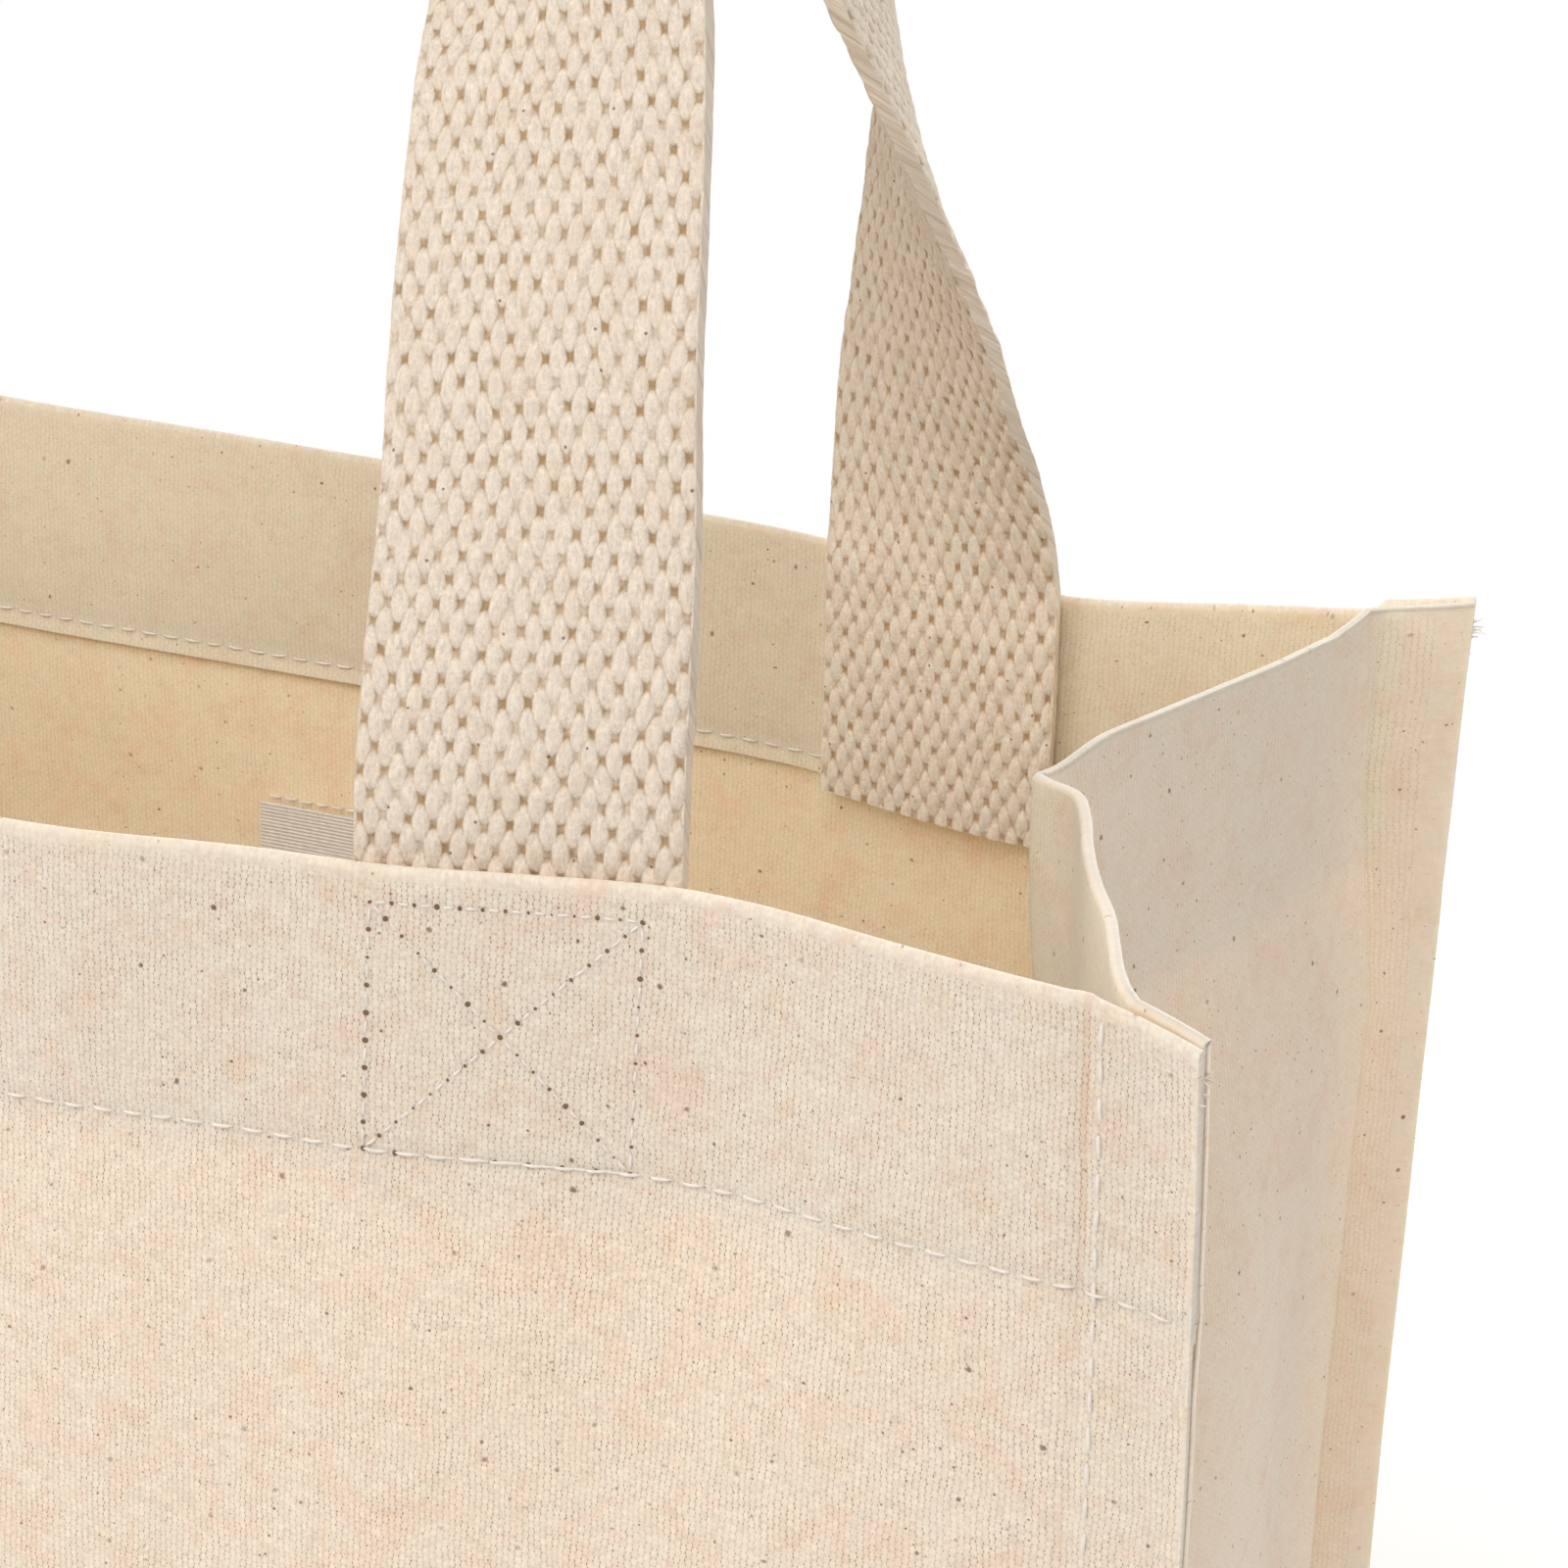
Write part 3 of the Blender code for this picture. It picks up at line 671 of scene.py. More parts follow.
# The gussets' outer face was pressed flat by folding: the eye reads it as smoother and warmer.
canvas_side = canvas_material("cotton_canvas_pressed_side", srgb("#f3dfc9"), weave=0.45)
# The inner face lies in its own warm bounce light: a softer weave with fewer flecks.
canvas_inside = canvas_material(
    "cotton_canvas_inner_face", srgb("#f2e3ca"), weave=0.5, flecked=0.35
)
print("materials:", [m.name for m in (canvas, canvas_side, canvas_inside)])

# %% [markdown]
# ### Cotton webbing
#
# The handle is woven on a narrow loom from thick soft cords. Each cord rises as an oval
# knuckle and dives under its neighbour half a step later, so the face reads as rows of
# grains with small tan gaps. The same height formula shapes the mesh and tints the
# shader: knuckles are pale and gaps are dark.

# %% Webbing pattern
CORD_WIDTH = WEBBING_WIDTH / MM / 26
CORD_STEP = 4.4
KNUCKLE_HALF_WIDTH = 0.84
KNUCKLE_HALF_LENGTH = 1.88
KNUCKLE_TALL = 0.00044
WEBBING_CORE_IN = 0.0003


def webbing_height(u, v):
    """Height of the woven face from 0 in a gap to 1 on a knuckle, for places in mm."""
    best = np.zeros(np.broadcast(u, v).shape)
    column = np.floor(u / CORD_WIDTH)
    for side in (-1, 0, 1):
        cord = column + side
        beside = (u - (cord + 0.5) * CORD_WIDTH) / KNUCKLE_HALF_WIDTH
        turns = v / CORD_STEP + cord / 2
        ahead = (turns - np.round(turns)) * CORD_STEP / KNUCKLE_HALF_LENGTH
        best = np.maximum(best, np.sqrt(np.clip(1 - beside**2 - ahead**2, 0, 1)))
    return best


def cord_domes(tree, flat):
    """The same height as webbing_height, worked out in the shader."""
    u, v, _ = parts_of(tree, flat)
    column = math.floor(u / CORD_WIDTH)
    best = None
    for side in (-1, 0, 1):
        cord = column + side
        beside = (u - (cord + 0.5) * CORD_WIDTH) / KNUCKLE_HALF_WIDTH
        turns = v / CORD_STEP + cord / 2.0
        ahead = (turns - round(turns)) * (CORD_STEP / KNUCKLE_HALF_LENGTH)
        spent = beside.times_plus(beside, ahead * ahead)
        dome = (1.0 - spent).larger(0.0).step("SQRT")
        best = dome if best is None else best.larger(dome)
    return best


def webbing_material(name, pale, gap):
    """Thick soft cotton cords: gives the eye rows of grains with small dark gaps."""
    made, tree, shader, flat = new_material(name)
    best = cord_domes(tree, flat)
    ply = noise_at(tree, stretched(tree, flat, 3.0, 0.8, 0.3), 1.0, 4.0, 0.8)
    cross_ply = noise_at(tree, stretched(tree, flat, 2.6, 0.7, -0.35), 1.0, 3.0, 0.75)
    fuzz = noise_at(tree, flat, 2.2, 4.0, 0.8)
    strands = ply + cross_ply + fuzz
    warm = noise_at(tree, flat, 0.2, 5.0, 0.75).ramp(0.42, 0.68)
    filled = noise_at(tree, flat, 0.42, 2.0, 0.6).ramp(0.36, 0.62, 0.35, 1.0)
    deep = fuzz.times_plus(0.30, best).ramp(0.14, 0.92, 1.0, 0.0)
    tone = mix(tree, deep * filled, pale, gap)
    tone = mix(tree, warm * 0.25, tone, srgb("#e8c8a8"))
    tone = shaded(tree, tone, strands.times_plus(0.60, 0.12))
    plane = {"voronoi_dimensions": "2D"}
    cells = node(tree, "ShaderNodeTexVoronoi", plane, Vector=flat, Scale=0.30)
    _, green, _ = parts_of(tree, cells.outputs["Color"], "Color")
    fleck = Number(cells.outputs["Distance"]).ramp(0.02, 0.06, 1.0, 0.0)
    fleck = fleck * green.step("LESS_THAN", 0.15)
    tone = mix(tree, fleck * 0.8, tone, srgb("#6d4a33"))
    tree.links.new(tone, shader.inputs["Base Color"])
    set_inputs(shader, Roughness=0.95, Sheen_Weight=0.15, Specular_IOR_Level=0.15)
    add_bump(tree, shader, strands.times_plus(1.1, best), 0.6, 0.00032)
    return made


# The front handle stands in full light: pale cords with tan gaps.
webbing = webbing_material("cotton_webbing_thick_cords", srgb("#f6e6d3"), srgb("#b8976f"))
# The back handle gets warm light from inside the bag: the eye reads the same cords as creamier.
webbing_back = webbing_material(
    "cotton_webbing_thick_cords_warm", srgb("#fdefdb"), srgb("#c4a27a")
)
print("materials:", webbing.name, webbing_back.name, "cord width mm:", round(CORD_WIDTH, 2))

# %% [markdown]
# ### Thread, needle holes and ribbon
#
# The sewing thread is a thin bright cotton. The needle holes beside it are small and
# dark, and they are what the eye sees first in the stitched boxes. The care label is a
# plain satin ribbon with fine cross ribs and nothing printed on it.


# %% Thread, hole and ribbon materials
def plain_material(name, colour, roughness, rib=0.0):
    """A plain thread surface. rib adds fine cross ribs, in ribs per mm."""
    made, tree, shader, flat = new_material(name)
    grain = noise_at(tree, flat, 1.1, 3.0, 0.6)
    tone = mix(tree, grain.ramp(0.3, 0.8, 0.0, 0.22), colour, srgb("#a98f78"))
    tree.links.new(tone, shader.inputs["Base Color"])
    set_inputs(shader, Roughness=roughness, Specular_IOR_Level=0.25)
    if rib:
        _, y, _ = parts_of(tree, flat)
        wave = (y * (2 * math.pi * rib)).step("SINE")
        add_bump(tree, shader, wave, 0.4, 0.00008)
    return made


# Spun cotton thread: gives the eye short pale dashes.
thread = plain_material("sewing_thread_white_cotton", srgb("#f6eee4"), 0.7)
# The dark of a hole in cloth: gives the eye the dotted box and cross.
needle_hole = plain_material("needle_hole_in_cloth", srgb("#7d624a"), 1.0)
# Satin ribbon with fine ribs: gives the eye a smooth pale tab against the canvas.
ribbon = plain_material("woven_label_ribbon_blank", srgb("#f1e9df"), 0.6, rib=2.2)
print("materials:", [m.name for m in (thread, needle_hole, ribbon)])

# %% [markdown]
# ## How the walls sag
#
# A filled tote stands as flat as its pattern, but an empty one doesn't. Its rim bows in
# beside each handle, where the webbing pulls, and bows out in the middle. The tables
# give the rim's shift in mm at a distance from the corner seam. The shift fades on the
# way down, because the bottom seam holds the cloth straight.

# %% Rim tables and the shape of a wall
FRONT_IN = smooth_table(
    [(0, 0), (9, 1.0), (14.5, 1.8), (20, 2.6), (25.5, 3.3), (31, 3.8), (36.6, 3.8), (50, 1.8)]
    + [(65, -0.4), (75, -1.0), (81, -1.4), (93, -2.4), (125, -3.2)]
)
FRONT_UP = smooth_table(
    [(0, 0), (9, 0.38), (14.5, 0.6), (20, 0.86), (25.5, 1.2), (31, 1.4), (36.6, 1.5), (50, 1.2)]
    + [(65, 0.7), (75, 0.7), (81, 0.6), (93, 0.15), (125, 0)]
)
BACK_IN = smooth_table(
    [(0, 0), (15, 2.2), (35, 4.4), (50, 1.2), (65, -2.6), (90, -3.0), (125, -2.8), (160, -2.8)]
    + [(185, -2.4), (200, 1.0), (215, 3.6), (235, 2.0), (250, 0)]
)
BACK_UP = smooth_table(
    [(0, 0), (35, -2.1), (65, -1.6), (95, -0.6), (125, 0.4), (160, 1.4)]
    + [(190, 1.3), (215, 0.3), (250, 0)]
)


def sag(front, x, height):
    """How far a wall's cloth has moved inward and up, in metres, at a place on its pattern."""
    from_right = (HALF_WIDTH - (x if front else -x)) / MM
    below = (BODY_HEIGHT - height) / MM
    fade_in = np.exp(-((np.maximum(below, 0) / 95.0) ** 2))
    fade_up = np.exp(-((np.maximum(below, 0) / 62.0) ** 2))
    at = np.clip(from_right, 0, 250)
    if front:
        at = np.minimum(at, 250 - at)
        inward, up = FRONT_IN(at), FRONT_UP(at)
    else:
        inward, up = BACK_IN(at), BACK_UP(at)
    held = np.clip(np.minimum(from_right, 250 - from_right) / 25.0, 0, 1)
    held = eased(held)
    floor = np.clip(height / MM / 40.0, 0, 1)
    slow = soft_noise(x / MM, height / MM, 95, 11 if front else 12)
    quick_waves = soft_noise(x / MM, height / MM, 34, 21 if front else 22)
    belly = (-2.6 if front else -1.2) * np.sin(np.clip(height / BODY_HEIGHT, 0, 1) * math.pi) ** 1.5
    loose = held * floor * (0.9 * slow + 0.22 * quick_waves + belly)
    return (inward * fade_in + loose) * MM, up * fade_up * MM


def lean_out(front, below):
    """How far the corner seam leans outward going down, in metres."""
    if not front:
        return -0.8 * MM * (1 - np.exp(-np.clip(below / MM, 0, 230) / 40.0))
    deep = np.clip(below / MM, 0, 230)
    return (0.0512 * deep * np.exp(-((deep / 120.0) ** 2))) * MM


print("front rim mm in at the handle:", float(FRONT_IN(33)))


# %% [markdown]
# ## Front and back walls
#
# One wall is one piece of canvas. It comes up from the bottom seam, turns over at the
# rim and runs back down inside as the hem. The grid follows that real path, so the rim
# is round and the hem has its own lower edge. Past the corner seam the same piece stands
# out as the seam's flange. The hem is pulled in a little along its stitching.


# %% Shape of a wall
RIM_TURN = 0.55
HEM_DIP = 0.00018


def wall_rows(tight=RIM_TURN):
    """Rows of a wall from the ground over the rim to the hem's edge: height, inward, place.

    tight is the rim's turning radius as a share of the cloth's thickness.
    """
    top = BODY_HEIGHT - CLOTH
    body = np.concatenate([np.linspace(0, 0.190, 60), np.linspace(0.190, top, 41)[1:]])
    rows = []
    for h in body:
        dip = HEM_DIP * math.exp(-(((BODY_HEIGHT - HEM_STITCH - h) / 0.0011) ** 2))
        rows.append((h, CLOTH / 2 + dip, h))
    radius = CLOTH * tight
    for k in range(1, 10):
        a = math.pi * k / 10
        inward = CLOTH / 2 + radius * (1 - math.cos(a))
        rows.append((top + radius * math.sin(a), inward, top + radius * a))
    start = top + radius * math.pi
    inner = np.linspace(0, HEM_DEPTH - CLOTH, 26)
    for down in inner:
        h = top - down
        dip = HEM_DIP * math.exp(-(((BODY_HEIGHT - HEM_STITCH - h) / 0.0011) ** 2))
        puff = 0.00025 * math.sin(math.pi * min(down / (HEM_STITCH - CLOTH), 1))
        edge = 0.00035 * math.exp(-(((down - inner[-1]) / 0.0012) ** 2))
        rows.append((h, CLOTH / 2 + 2 * radius - dip + edge + puff, start + down))
    return np.array(rows)


def wall_columns():
    """Columns of a wall from one flange tip to the other."""
    half = np.concatenate(
        [
            np.linspace(0, 0.085, 60),
            np.linspace(0.085, HALF_WIDTH - 0.004, 32)[1:],
            np.linspace(HALF_WIDTH - 0.004, HALF_WIDTH + 0.002, 8)[1:],
            np.linspace(HALF_WIDTH + 0.002, HALF_WIDTH + SEAM_FLANGE, 8)[1:],
        ]
    )
    return np.concatenate([-half[:0:-1], half])


def flange_share(x):
    """0 at the corner seam and 1 at the tip of its flange."""
    return np.clip((np.abs(x) - HALF_WIDTH) / SEAM_FLANGE, 0, 1)


def seam_offset(front, x, height):
    """Inward shift of the wall's outer layer in its flange: the tip curls outward."""
    past = flange_share(x)
    wave = soft_noise(height / MM, x / MM * 0.2, 40, 31 if front else 32) * 0.4
    groove = 0.5 * np.exp(-(((np.abs(x) - HALF_WIDTH) / MM / 0.9) ** 2))
    return (0.9 * past - 2.0 * past**2 + wave * past + groove) * MM


def seam_lift(front, x, height):
    """The flange's top slopes down to its tip in front, and stands a little high at the back."""
    past = flange_share(x)
    near_top = np.exp(-(((BODY_HEIGHT - height) / MM / 30) ** 2))
    if front:
        return -2.6 * past * near_top * MM
    step = np.clip(past * 12, 0, 1)
    return (1.2 * step + 1.5 * past) * near_top * MM


def on_wall(front, x, height, inward):
    """A place on a wall's pattern, so far inward of the outer face, in the bag's frame."""
    shift_in, shift_up = sag(front, x, height)
    near_seam = np.clip((np.abs(x) - HALF_WIDTH + 0.05) / 0.05, 0, 1) ** 2
    aside = np.sign(x) * lean_out(front, BODY_HEIGHT - height) * near_seam
    inward = inward + shift_in + seam_offset(front, x, height)
    lift = shift_up + seam_lift(front, x, height)
    return place(front, x + aside, inward, height + lift)


print("rows and columns of a wall:", len(wall_rows()), len(wall_columns()))


# %% Wall cloth
def wall_cloth(front, name):
    """The cloth of one wall with its hem, as one closed sheet."""
    rows = wall_rows()
    x = wall_columns()
    across, height = np.meshgrid(x, rows[:, 0])
    pressed = 1 - 0.08 * flange_share(across)
    inward = CLOTH / 2 + (rows[:, 1][:, None] - CLOTH / 2) * pressed
    middle = on_wall(front, across, height, inward)
    uv = np.stack(np.meshgrid(x / MM, rows[:, 2] / MM), axis=-1)
    cloth = sheet_of(name, middle, uv, canvas)
    line_inside(cloth, (0, 0, BODY_HEIGHT / 2), canvas_inside)
    return cloth


FLAT_PLANE = 0.0625
SAG_KEPT = 0.4


def ride_wall(piece, front):
    """Fix a piece to one wall. As the bag folds, its sag goes flat, so that both walls fit."""
    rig.ride(piece, "front_wall" if front else "back_wall")
    flat_y = -FLAT_PLANE if front else FLAT_PLANE
    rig.squash(piece, "fold_flat", axis=(0, 1, 0), anchor=(0, flat_y, 0), keep=SAG_KEPT)


front_wall = wall_cloth(True, "front_wall_cloth")
ride_wall(front_wall, True)
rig.replaces(front_wall, "front_panel")
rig.slot(front_wall, "canvas")
back_wall = wall_cloth(False, "back_wall_cloth")
ride_wall(back_wall, False)
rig.replaces(back_wall, "back_panel")
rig.slot(back_wall, "canvas")
print("vertices of a wall:", len(front_wall.data.vertices))

# %% [markdown]
# ## Side gussets
#
# A gusset is one strip of canvas that runs from the front seam to the back one. At the
# rim it is folded inward along a sharp crease. On the way down the fold opens, so
# that near the ground the strip is flat. Plans at seven depths below the rim give the
# path across, and the surface runs smoothly between them. The back half opens first.
# Each plan is in mm out of the seam's plane, at the shares of the way from front to back.

# %% Plans of a gusset
PLAN_DEPTHS = (0, 26, 41, 69, 105, 160, 230)
CREASE_SHARE = 0.467
PLAN_SHARES = (0.0, 0.03, 0.075, 0.13, 0.20, 0.27, 0.345, 0.39, 0.425, CREASE_SHARE)
PLAN_SHARES = PLAN_SHARES + (0.49, 0.57, 0.66, 0.71, 0.83, 0.93, 0.975, 1.0)
PLANS = {
    0: (2.6, 1.2, -0.4, -2.4, -6.0, -9.0, -11.7, -13.7, -16.3, -20.4)
    + (-18.9, -15.6, -12.3, -10.3, -6.0, -2.6, -1.0, -0.2),
    26: (2.9, 1.6, 0.0, -1.9, -5.2, -7.9, -10.4, -12.3, -14.8, -18.2)
    + (-16.0, -12.9, -9.8, -7.9, -4.6, -1.8, -0.5, 0.4),
    41: (3.0, 1.8, 0.3, -1.5, -4.6, -7.1, -9.4, -11.2, -13.4, -16.4)
    + (-14.2, -11.0, -7.6, -5.6, -1.7, 0.4, 1.4, 2.6),
    69: (3.1, 2.0, 0.7, -0.8, -3.4, -5.5, -7.4, -9.0, -10.8, -12.8)
    + (-11.0, -7.2, -3.0, -1.2, 0.4, 1.0, 1.6, 2.6),
    105: (3.1, 2.2, 1.2, 0.1, -2.0, -3.7, -5.3, -6.5, -7.7, -8.8)
    + (-7.6, -4.4, -1.6, -0.6, 0.7, 1.2, 1.7, 2.6),
    160: (3.0, 2.3, 1.7, 0.9, -0.4, -1.4, -2.3, -2.9, -3.4, -3.9)
    + (-3.6, -2.3, -0.9, -0.2, 0.9, 1.4, 1.9, 2.6),
    230: (2.6, 1.6, 0.8, 0.3, 0.1, 0.0, 0.0, 0.0, 0.0, 0.0)
    + (0.0, 0.0, 0.0, 0.0, 0.1, 0.4, 1.3, 2.6),
}


def gusset_out(share, below):
    """How far out of the seam's plane the gusset lies, in mm, at a share of the way back."""
    fine = np.linspace(0, 1, 241)
    tables = []
    for depth in PLAN_DEPTHS:
        plan = PLANS[depth]
        crease = PLAN_SHARES.index(CREASE_SHARE)
        first = smooth_table(list(zip(PLAN_SHARES[: crease + 1], plan[: crease + 1])))
        second = smooth_table(list(zip(PLAN_SHARES[crease:], plan[crease:])))
        tables.append(np.where(fine <= CREASE_SHARE, first(fine), second(fine)))
    tables = np.array(tables)
    depth = np.clip(below, 0, 230)
    at = np.clip(np.searchsorted(PLAN_DEPTHS, depth, side="right") - 1, 0, len(PLAN_DEPTHS) - 2)
    low = np.take(PLAN_DEPTHS, at)
    high = np.take(PLAN_DEPTHS, at + 1)
    t = (depth - low) / (high - low)
    t = eased(t) * 0.35 + t * 0.65
    place_in = np.clip(share, 0, 1) * 240
    i = np.clip(np.floor(place_in).astype(int), 0, 239)
    f = place_in - i
    upper = tables[at, i] * (1 - f) + tables[at, i + 1] * f
    lower = tables[at + 1, i] * (1 - f) + tables[at + 1, i + 1] * f
    return upper * (1 - t) + lower * t


print("crease at the rim mm:", float(gusset_out(np.array(CREASE_SHARE), np.array(0.0))))


# %% [markdown]
# The gusset's own flanges lie against the walls' flanges, and together they make the
# thick standing seam at each corner. The gusset's rim turns over like the wall's.


# %% Gusset cloth
GUSSET_FLANGE_POINTS = 9
GUSSET_CLOTH = 0.0005
GUSSET_TURN = 0.42
SEAM_INSET = 0.0043


def gusset_panel(side, height, below):
    """The middle of a gusset's cloth between its two seams, folded in along its crease."""
    inner = np.unique(np.concatenate([np.linspace(0, 1, 101), np.linspace(0.43, 0.50, 15)]))
    front_line = place(True, 0 * height, SEAM_INSET + 0 * height, height)[..., 1]
    back_line = place(False, 0 * height, SEAM_INSET + 0 * height, height)[..., 1]
    share = inner[None, :] + 0 * height
    out = gusset_out(share, np.maximum(below + 0 * share, 0))
    rough = soft_noise(share * 120, below + 0 * share, 60, 41 + side)
    ripple = soft_noise(share * 120, below + 0 * share, 22, 51 + side)
    held = np.sin(math.pi * np.clip(share, 0, 1)) ** 0.5
    grounded = np.clip(height / MM / 30.0, 0, 1)
    out = out + held * grounded * (0.5 * rough + 0.18 * ripple)
    out = out + lean_out(True, BODY_HEIGHT - height) / MM * (1 - share) ** 2
    y = front_line + (back_line - front_line) * share
    z = height * math.cos(PANEL_LEAN) + 0 * share
    near_rim = np.exp(-((np.maximum(below, 0) / 40) ** 2))
    z = z - 1.7 * MM * np.exp(-(((share - CREASE_SHARE) / 0.05) ** 2)) * near_rim
    z = z + 1.2 * MM * np.clip((share - 0.93) / 0.07, 0, 1) * near_rim
    return np.stack([(HALF_WIDTH + out * MM), y, z], axis=-1)


def gusset_flange(front, height, below):
    """The middle of a gusset's cloth in one corner seam, from the tip to the seam.

    It lies inside the wall's layers. bulk is how much of the gap the hem leaves it.
    """
    root = 0.35 + 0 * below if front else 0.08 + 0.27 * np.clip((below - 20) / 25, 0, 1)
    flange = 1 + (root - 1) * np.linspace(0, 1, GUSSET_FLANGE_POINTS)[None, :]
    past = flange * SEAM_FLANGE
    x_local = HALF_WIDTH + past
    bulk = 0.85 + 1.0 * np.clip((below - HEM_DEPTH / MM) / 6, 0, 1)
    inward = seam_offset(front, x_local, height) + (3.05 - bulk * flange) * MM
    lift = seam_lift(front, x_local, height) + (0.5 * MM if front else 0)
    point = place(True, past, inward, height + lift)
    x = HALF_WIDTH + past + lean_out(front, BODY_HEIGHT - height) + 0.0002
    y = point[..., 1] if front else -point[..., 1]
    return np.stack([x, y, point[..., 2]], axis=-1)


def gusset_grid(side):
    """The middle of one gusset's cloth, its outward normals and its flat places in mm."""
    rows = wall_rows(GUSSET_TURN)
    height = rows[:, 0][:, None]
    below = (BODY_HEIGHT - height) / MM
    tip_front = gusset_flange(True, height, below)
    tip_back = gusset_flange(False, height, below)[:, ::-1]
    middle = np.concatenate([tip_front, gusset_panel(side, height, below), tip_back], axis=1)
    steps = np.diff(middle[0], axis=0, prepend=middle[0][:1])
    flat_x = np.cumsum(np.linalg.norm(steps, axis=1)) / MM
    flat_y = rows[:, 2] / MM
    outward = -grid_normals(middle)
    middle = middle - outward * (rows[:, 1] - CLOTH / 2)[:, None, None]
    if side < 0:
        middle = middle * (-1, 1, 1)
        outward = outward * (-1, 1, 1)
    return middle, outward, np.stack(np.meshgrid(flat_x, flat_y), axis=-1)


GUSSET_REACH = 0.055


def follow_both_walls(thing):
    """Let a piece of a gusset follow the front wall at one side and the back wall at the other."""
    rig.blend(thing, "front_wall", "back_wall", (0, -GUSSET_REACH, 0.1), (0, GUSSET_REACH, 0.1))
    even_weights(thing, -GUSSET_REACH, GUSSET_REACH)


gussets = {}
for side, name in ((1, "right"), (-1, "left")):
    middle, outward, uv = gusset_grid(side)
    piece = sheet_of(f"{name}_gusset_cloth", middle, uv, canvas_side, GUSSET_CLOTH)
    line_inside(piece, (0, 0, BODY_HEIGHT / 2), canvas_inside)
    follow_both_walls(piece)
    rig.replaces(piece, f"{name}_gusset")
    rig.slot(piece, "canvas")
    gussets[name] = (middle, outward)
print("gussets:", sorted(gussets))


# %% [markdown]
# ## Bottom
#
# The bottom is one layer of canvas on the ground. It sags nowhere, but its middle
# lifts a little, because the seams round it are thicker than the cloth.


# %% Bottom cloth
def bottom_cloth():
    """The bottom panel as one closed sheet with a slightly raised middle."""
    x = np.linspace(-HALF_WIDTH + 0.0008, HALF_WIDTH - 0.0008, 90)
    y = np.linspace(-BOTTOM_DEPTH / 2 + 0.0013, BOTTOM_DEPTH / 2 - 0.0013, 50)
    gx, gy = np.meshgrid(x, y)
    inside = np.clip(1 - (gx / HALF_WIDTH) ** 4, 0, 1)
    inside = inside * np.clip(1 - (2 * gy / BOTTOM_DEPTH) ** 4, 0, 1)
    lift = inside * (1.1 + 0.5 * soft_noise(gx / MM, gy / MM, 60, 61)) * MM
    middle = np.stack([gx, gy, CANVAS / 2 + np.maximum(lift, 0)], axis=-1)
    uv = np.stack([gx / MM, gy / MM], axis=-1)
    cloth = sheet_of("bottom_cloth", middle, uv, canvas)
    line_inside(cloth, (0, 0, BODY_HEIGHT / 2), canvas_inside)
    return cloth


bottom = bottom_cloth()
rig.blend(bottom, "front_wall", "back_wall", (0, -0.060, 0), (0, 0.060, 0))
even_weights(bottom, -0.0605, 0.0605)
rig.replaces(bottom, "bottom_panel")
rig.slot(bottom, "canvas")
print("bottom vertices:", len(bottom.data.vertices))

# %% [markdown]
# Each panel is one flat piece of canvas before it is sewn. Its flat size is the panel
# plus what the corner seams and the hem take up.

# %% Flat sizes of the panels
WALL_FLAT = (BODY_WIDTH + 2 * SEAM_FLANGE, BODY_HEIGHT + HEM_DEPTH)
GUSSET_FLAT = (BOTTOM_DEPTH + 2 * SEAM_FLANGE, BODY_HEIGHT + HEM_DEPTH)
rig.sheet(front_wall, flat=WALL_FLAT, held="stretched", rests_on=[bottom])
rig.sheet(back_wall, flat=WALL_FLAT, held="stretched", rests_on=[bottom])
for name in gussets:
    piece = bpy.data.objects[f"{name}_gusset_cloth"]
    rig.sheet(piece, flat=GUSSET_FLAT, held="folded", rests_on=[bottom])
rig.sheet(bottom, flat=(BODY_WIDTH, BOTTOM_DEPTH), held="laid", rests_on=[front_wall, back_wall])
print("flat sizes mm:", [round(v / MM, 1) for v in WALL_FLAT + GUSSET_FLAT])

# %% [markdown]
# ## Handles
#
# Each handle is one length of webbing. Its ends are sewn flat inside the hem. Above the
# rim it is soft enough to turn a quarter round on its way up each leg, and the arch
# leans toward the middle of the bag. The line below is the CAD's own, with the sewn
# ends added, and the woven face is real relief on both sides.


# %% Line of a handle
def arch_half():
    """Middle line of one leg about the fold line, from the rim to the top: x, inward, up."""
    angles = np.linspace(0, 1, 2000) ** 2 * (math.pi / 2)
    height = np.sin(angles) ** (2 / 2.6)
    x = LEG_X * np.cos(angles)
    inward = FOLD_OFFSET + ARCH_LEAN * (3 * height**2 - 2 * height**3)
    up = 0.0003 + (HANDLE_DROP - 0.0003) * height
    return np.stack([x, inward, up], axis=1)


def handle_line():
    """The whole line of a handle in even steps, from one sewn end to the other."""
    half = arch_half()
    arch = np.concatenate([half, half[-2::-1] * (-1, 1, 1)])
    low = np.linspace(-SEWN_LENGTH, 0, 60)[:-1]
    sewn = np.stack([LEG_X + 0 * low, FOLD_OFFSET + 0 * low, low], axis=1)
    line = np.concatenate([sewn, arch, sewn[::-1] * (-1, 1, 1)])
    travel = travel_along(line)
    count = int(round(travel[-1] / MM / CORD_STEP * 7))
    at = np.linspace(0, travel[-1], count + 1)
    even = np.stack([np.interp(at, travel, line[:, k]) for k in range(3)], axis=1)
    return even, at


LINE, TRAVEL = handle_line()
print("webbing length mm:", round(TRAVEL[-1] / MM, 1), "rows:", len(LINE))


# %% [markdown]
# The two handles aren't twins: they were sewn by hand, and each leg leaves its hem at
# its own angle. The tables give how far a leg stands outside its nominal line, in mm at
# a height above the rim. `level` is the inward direction square to the line, `beside`
# is square to both, and the webbing's width swings from one to the other. The front
# webbing turns late and outward, and the back one turns early and inward.

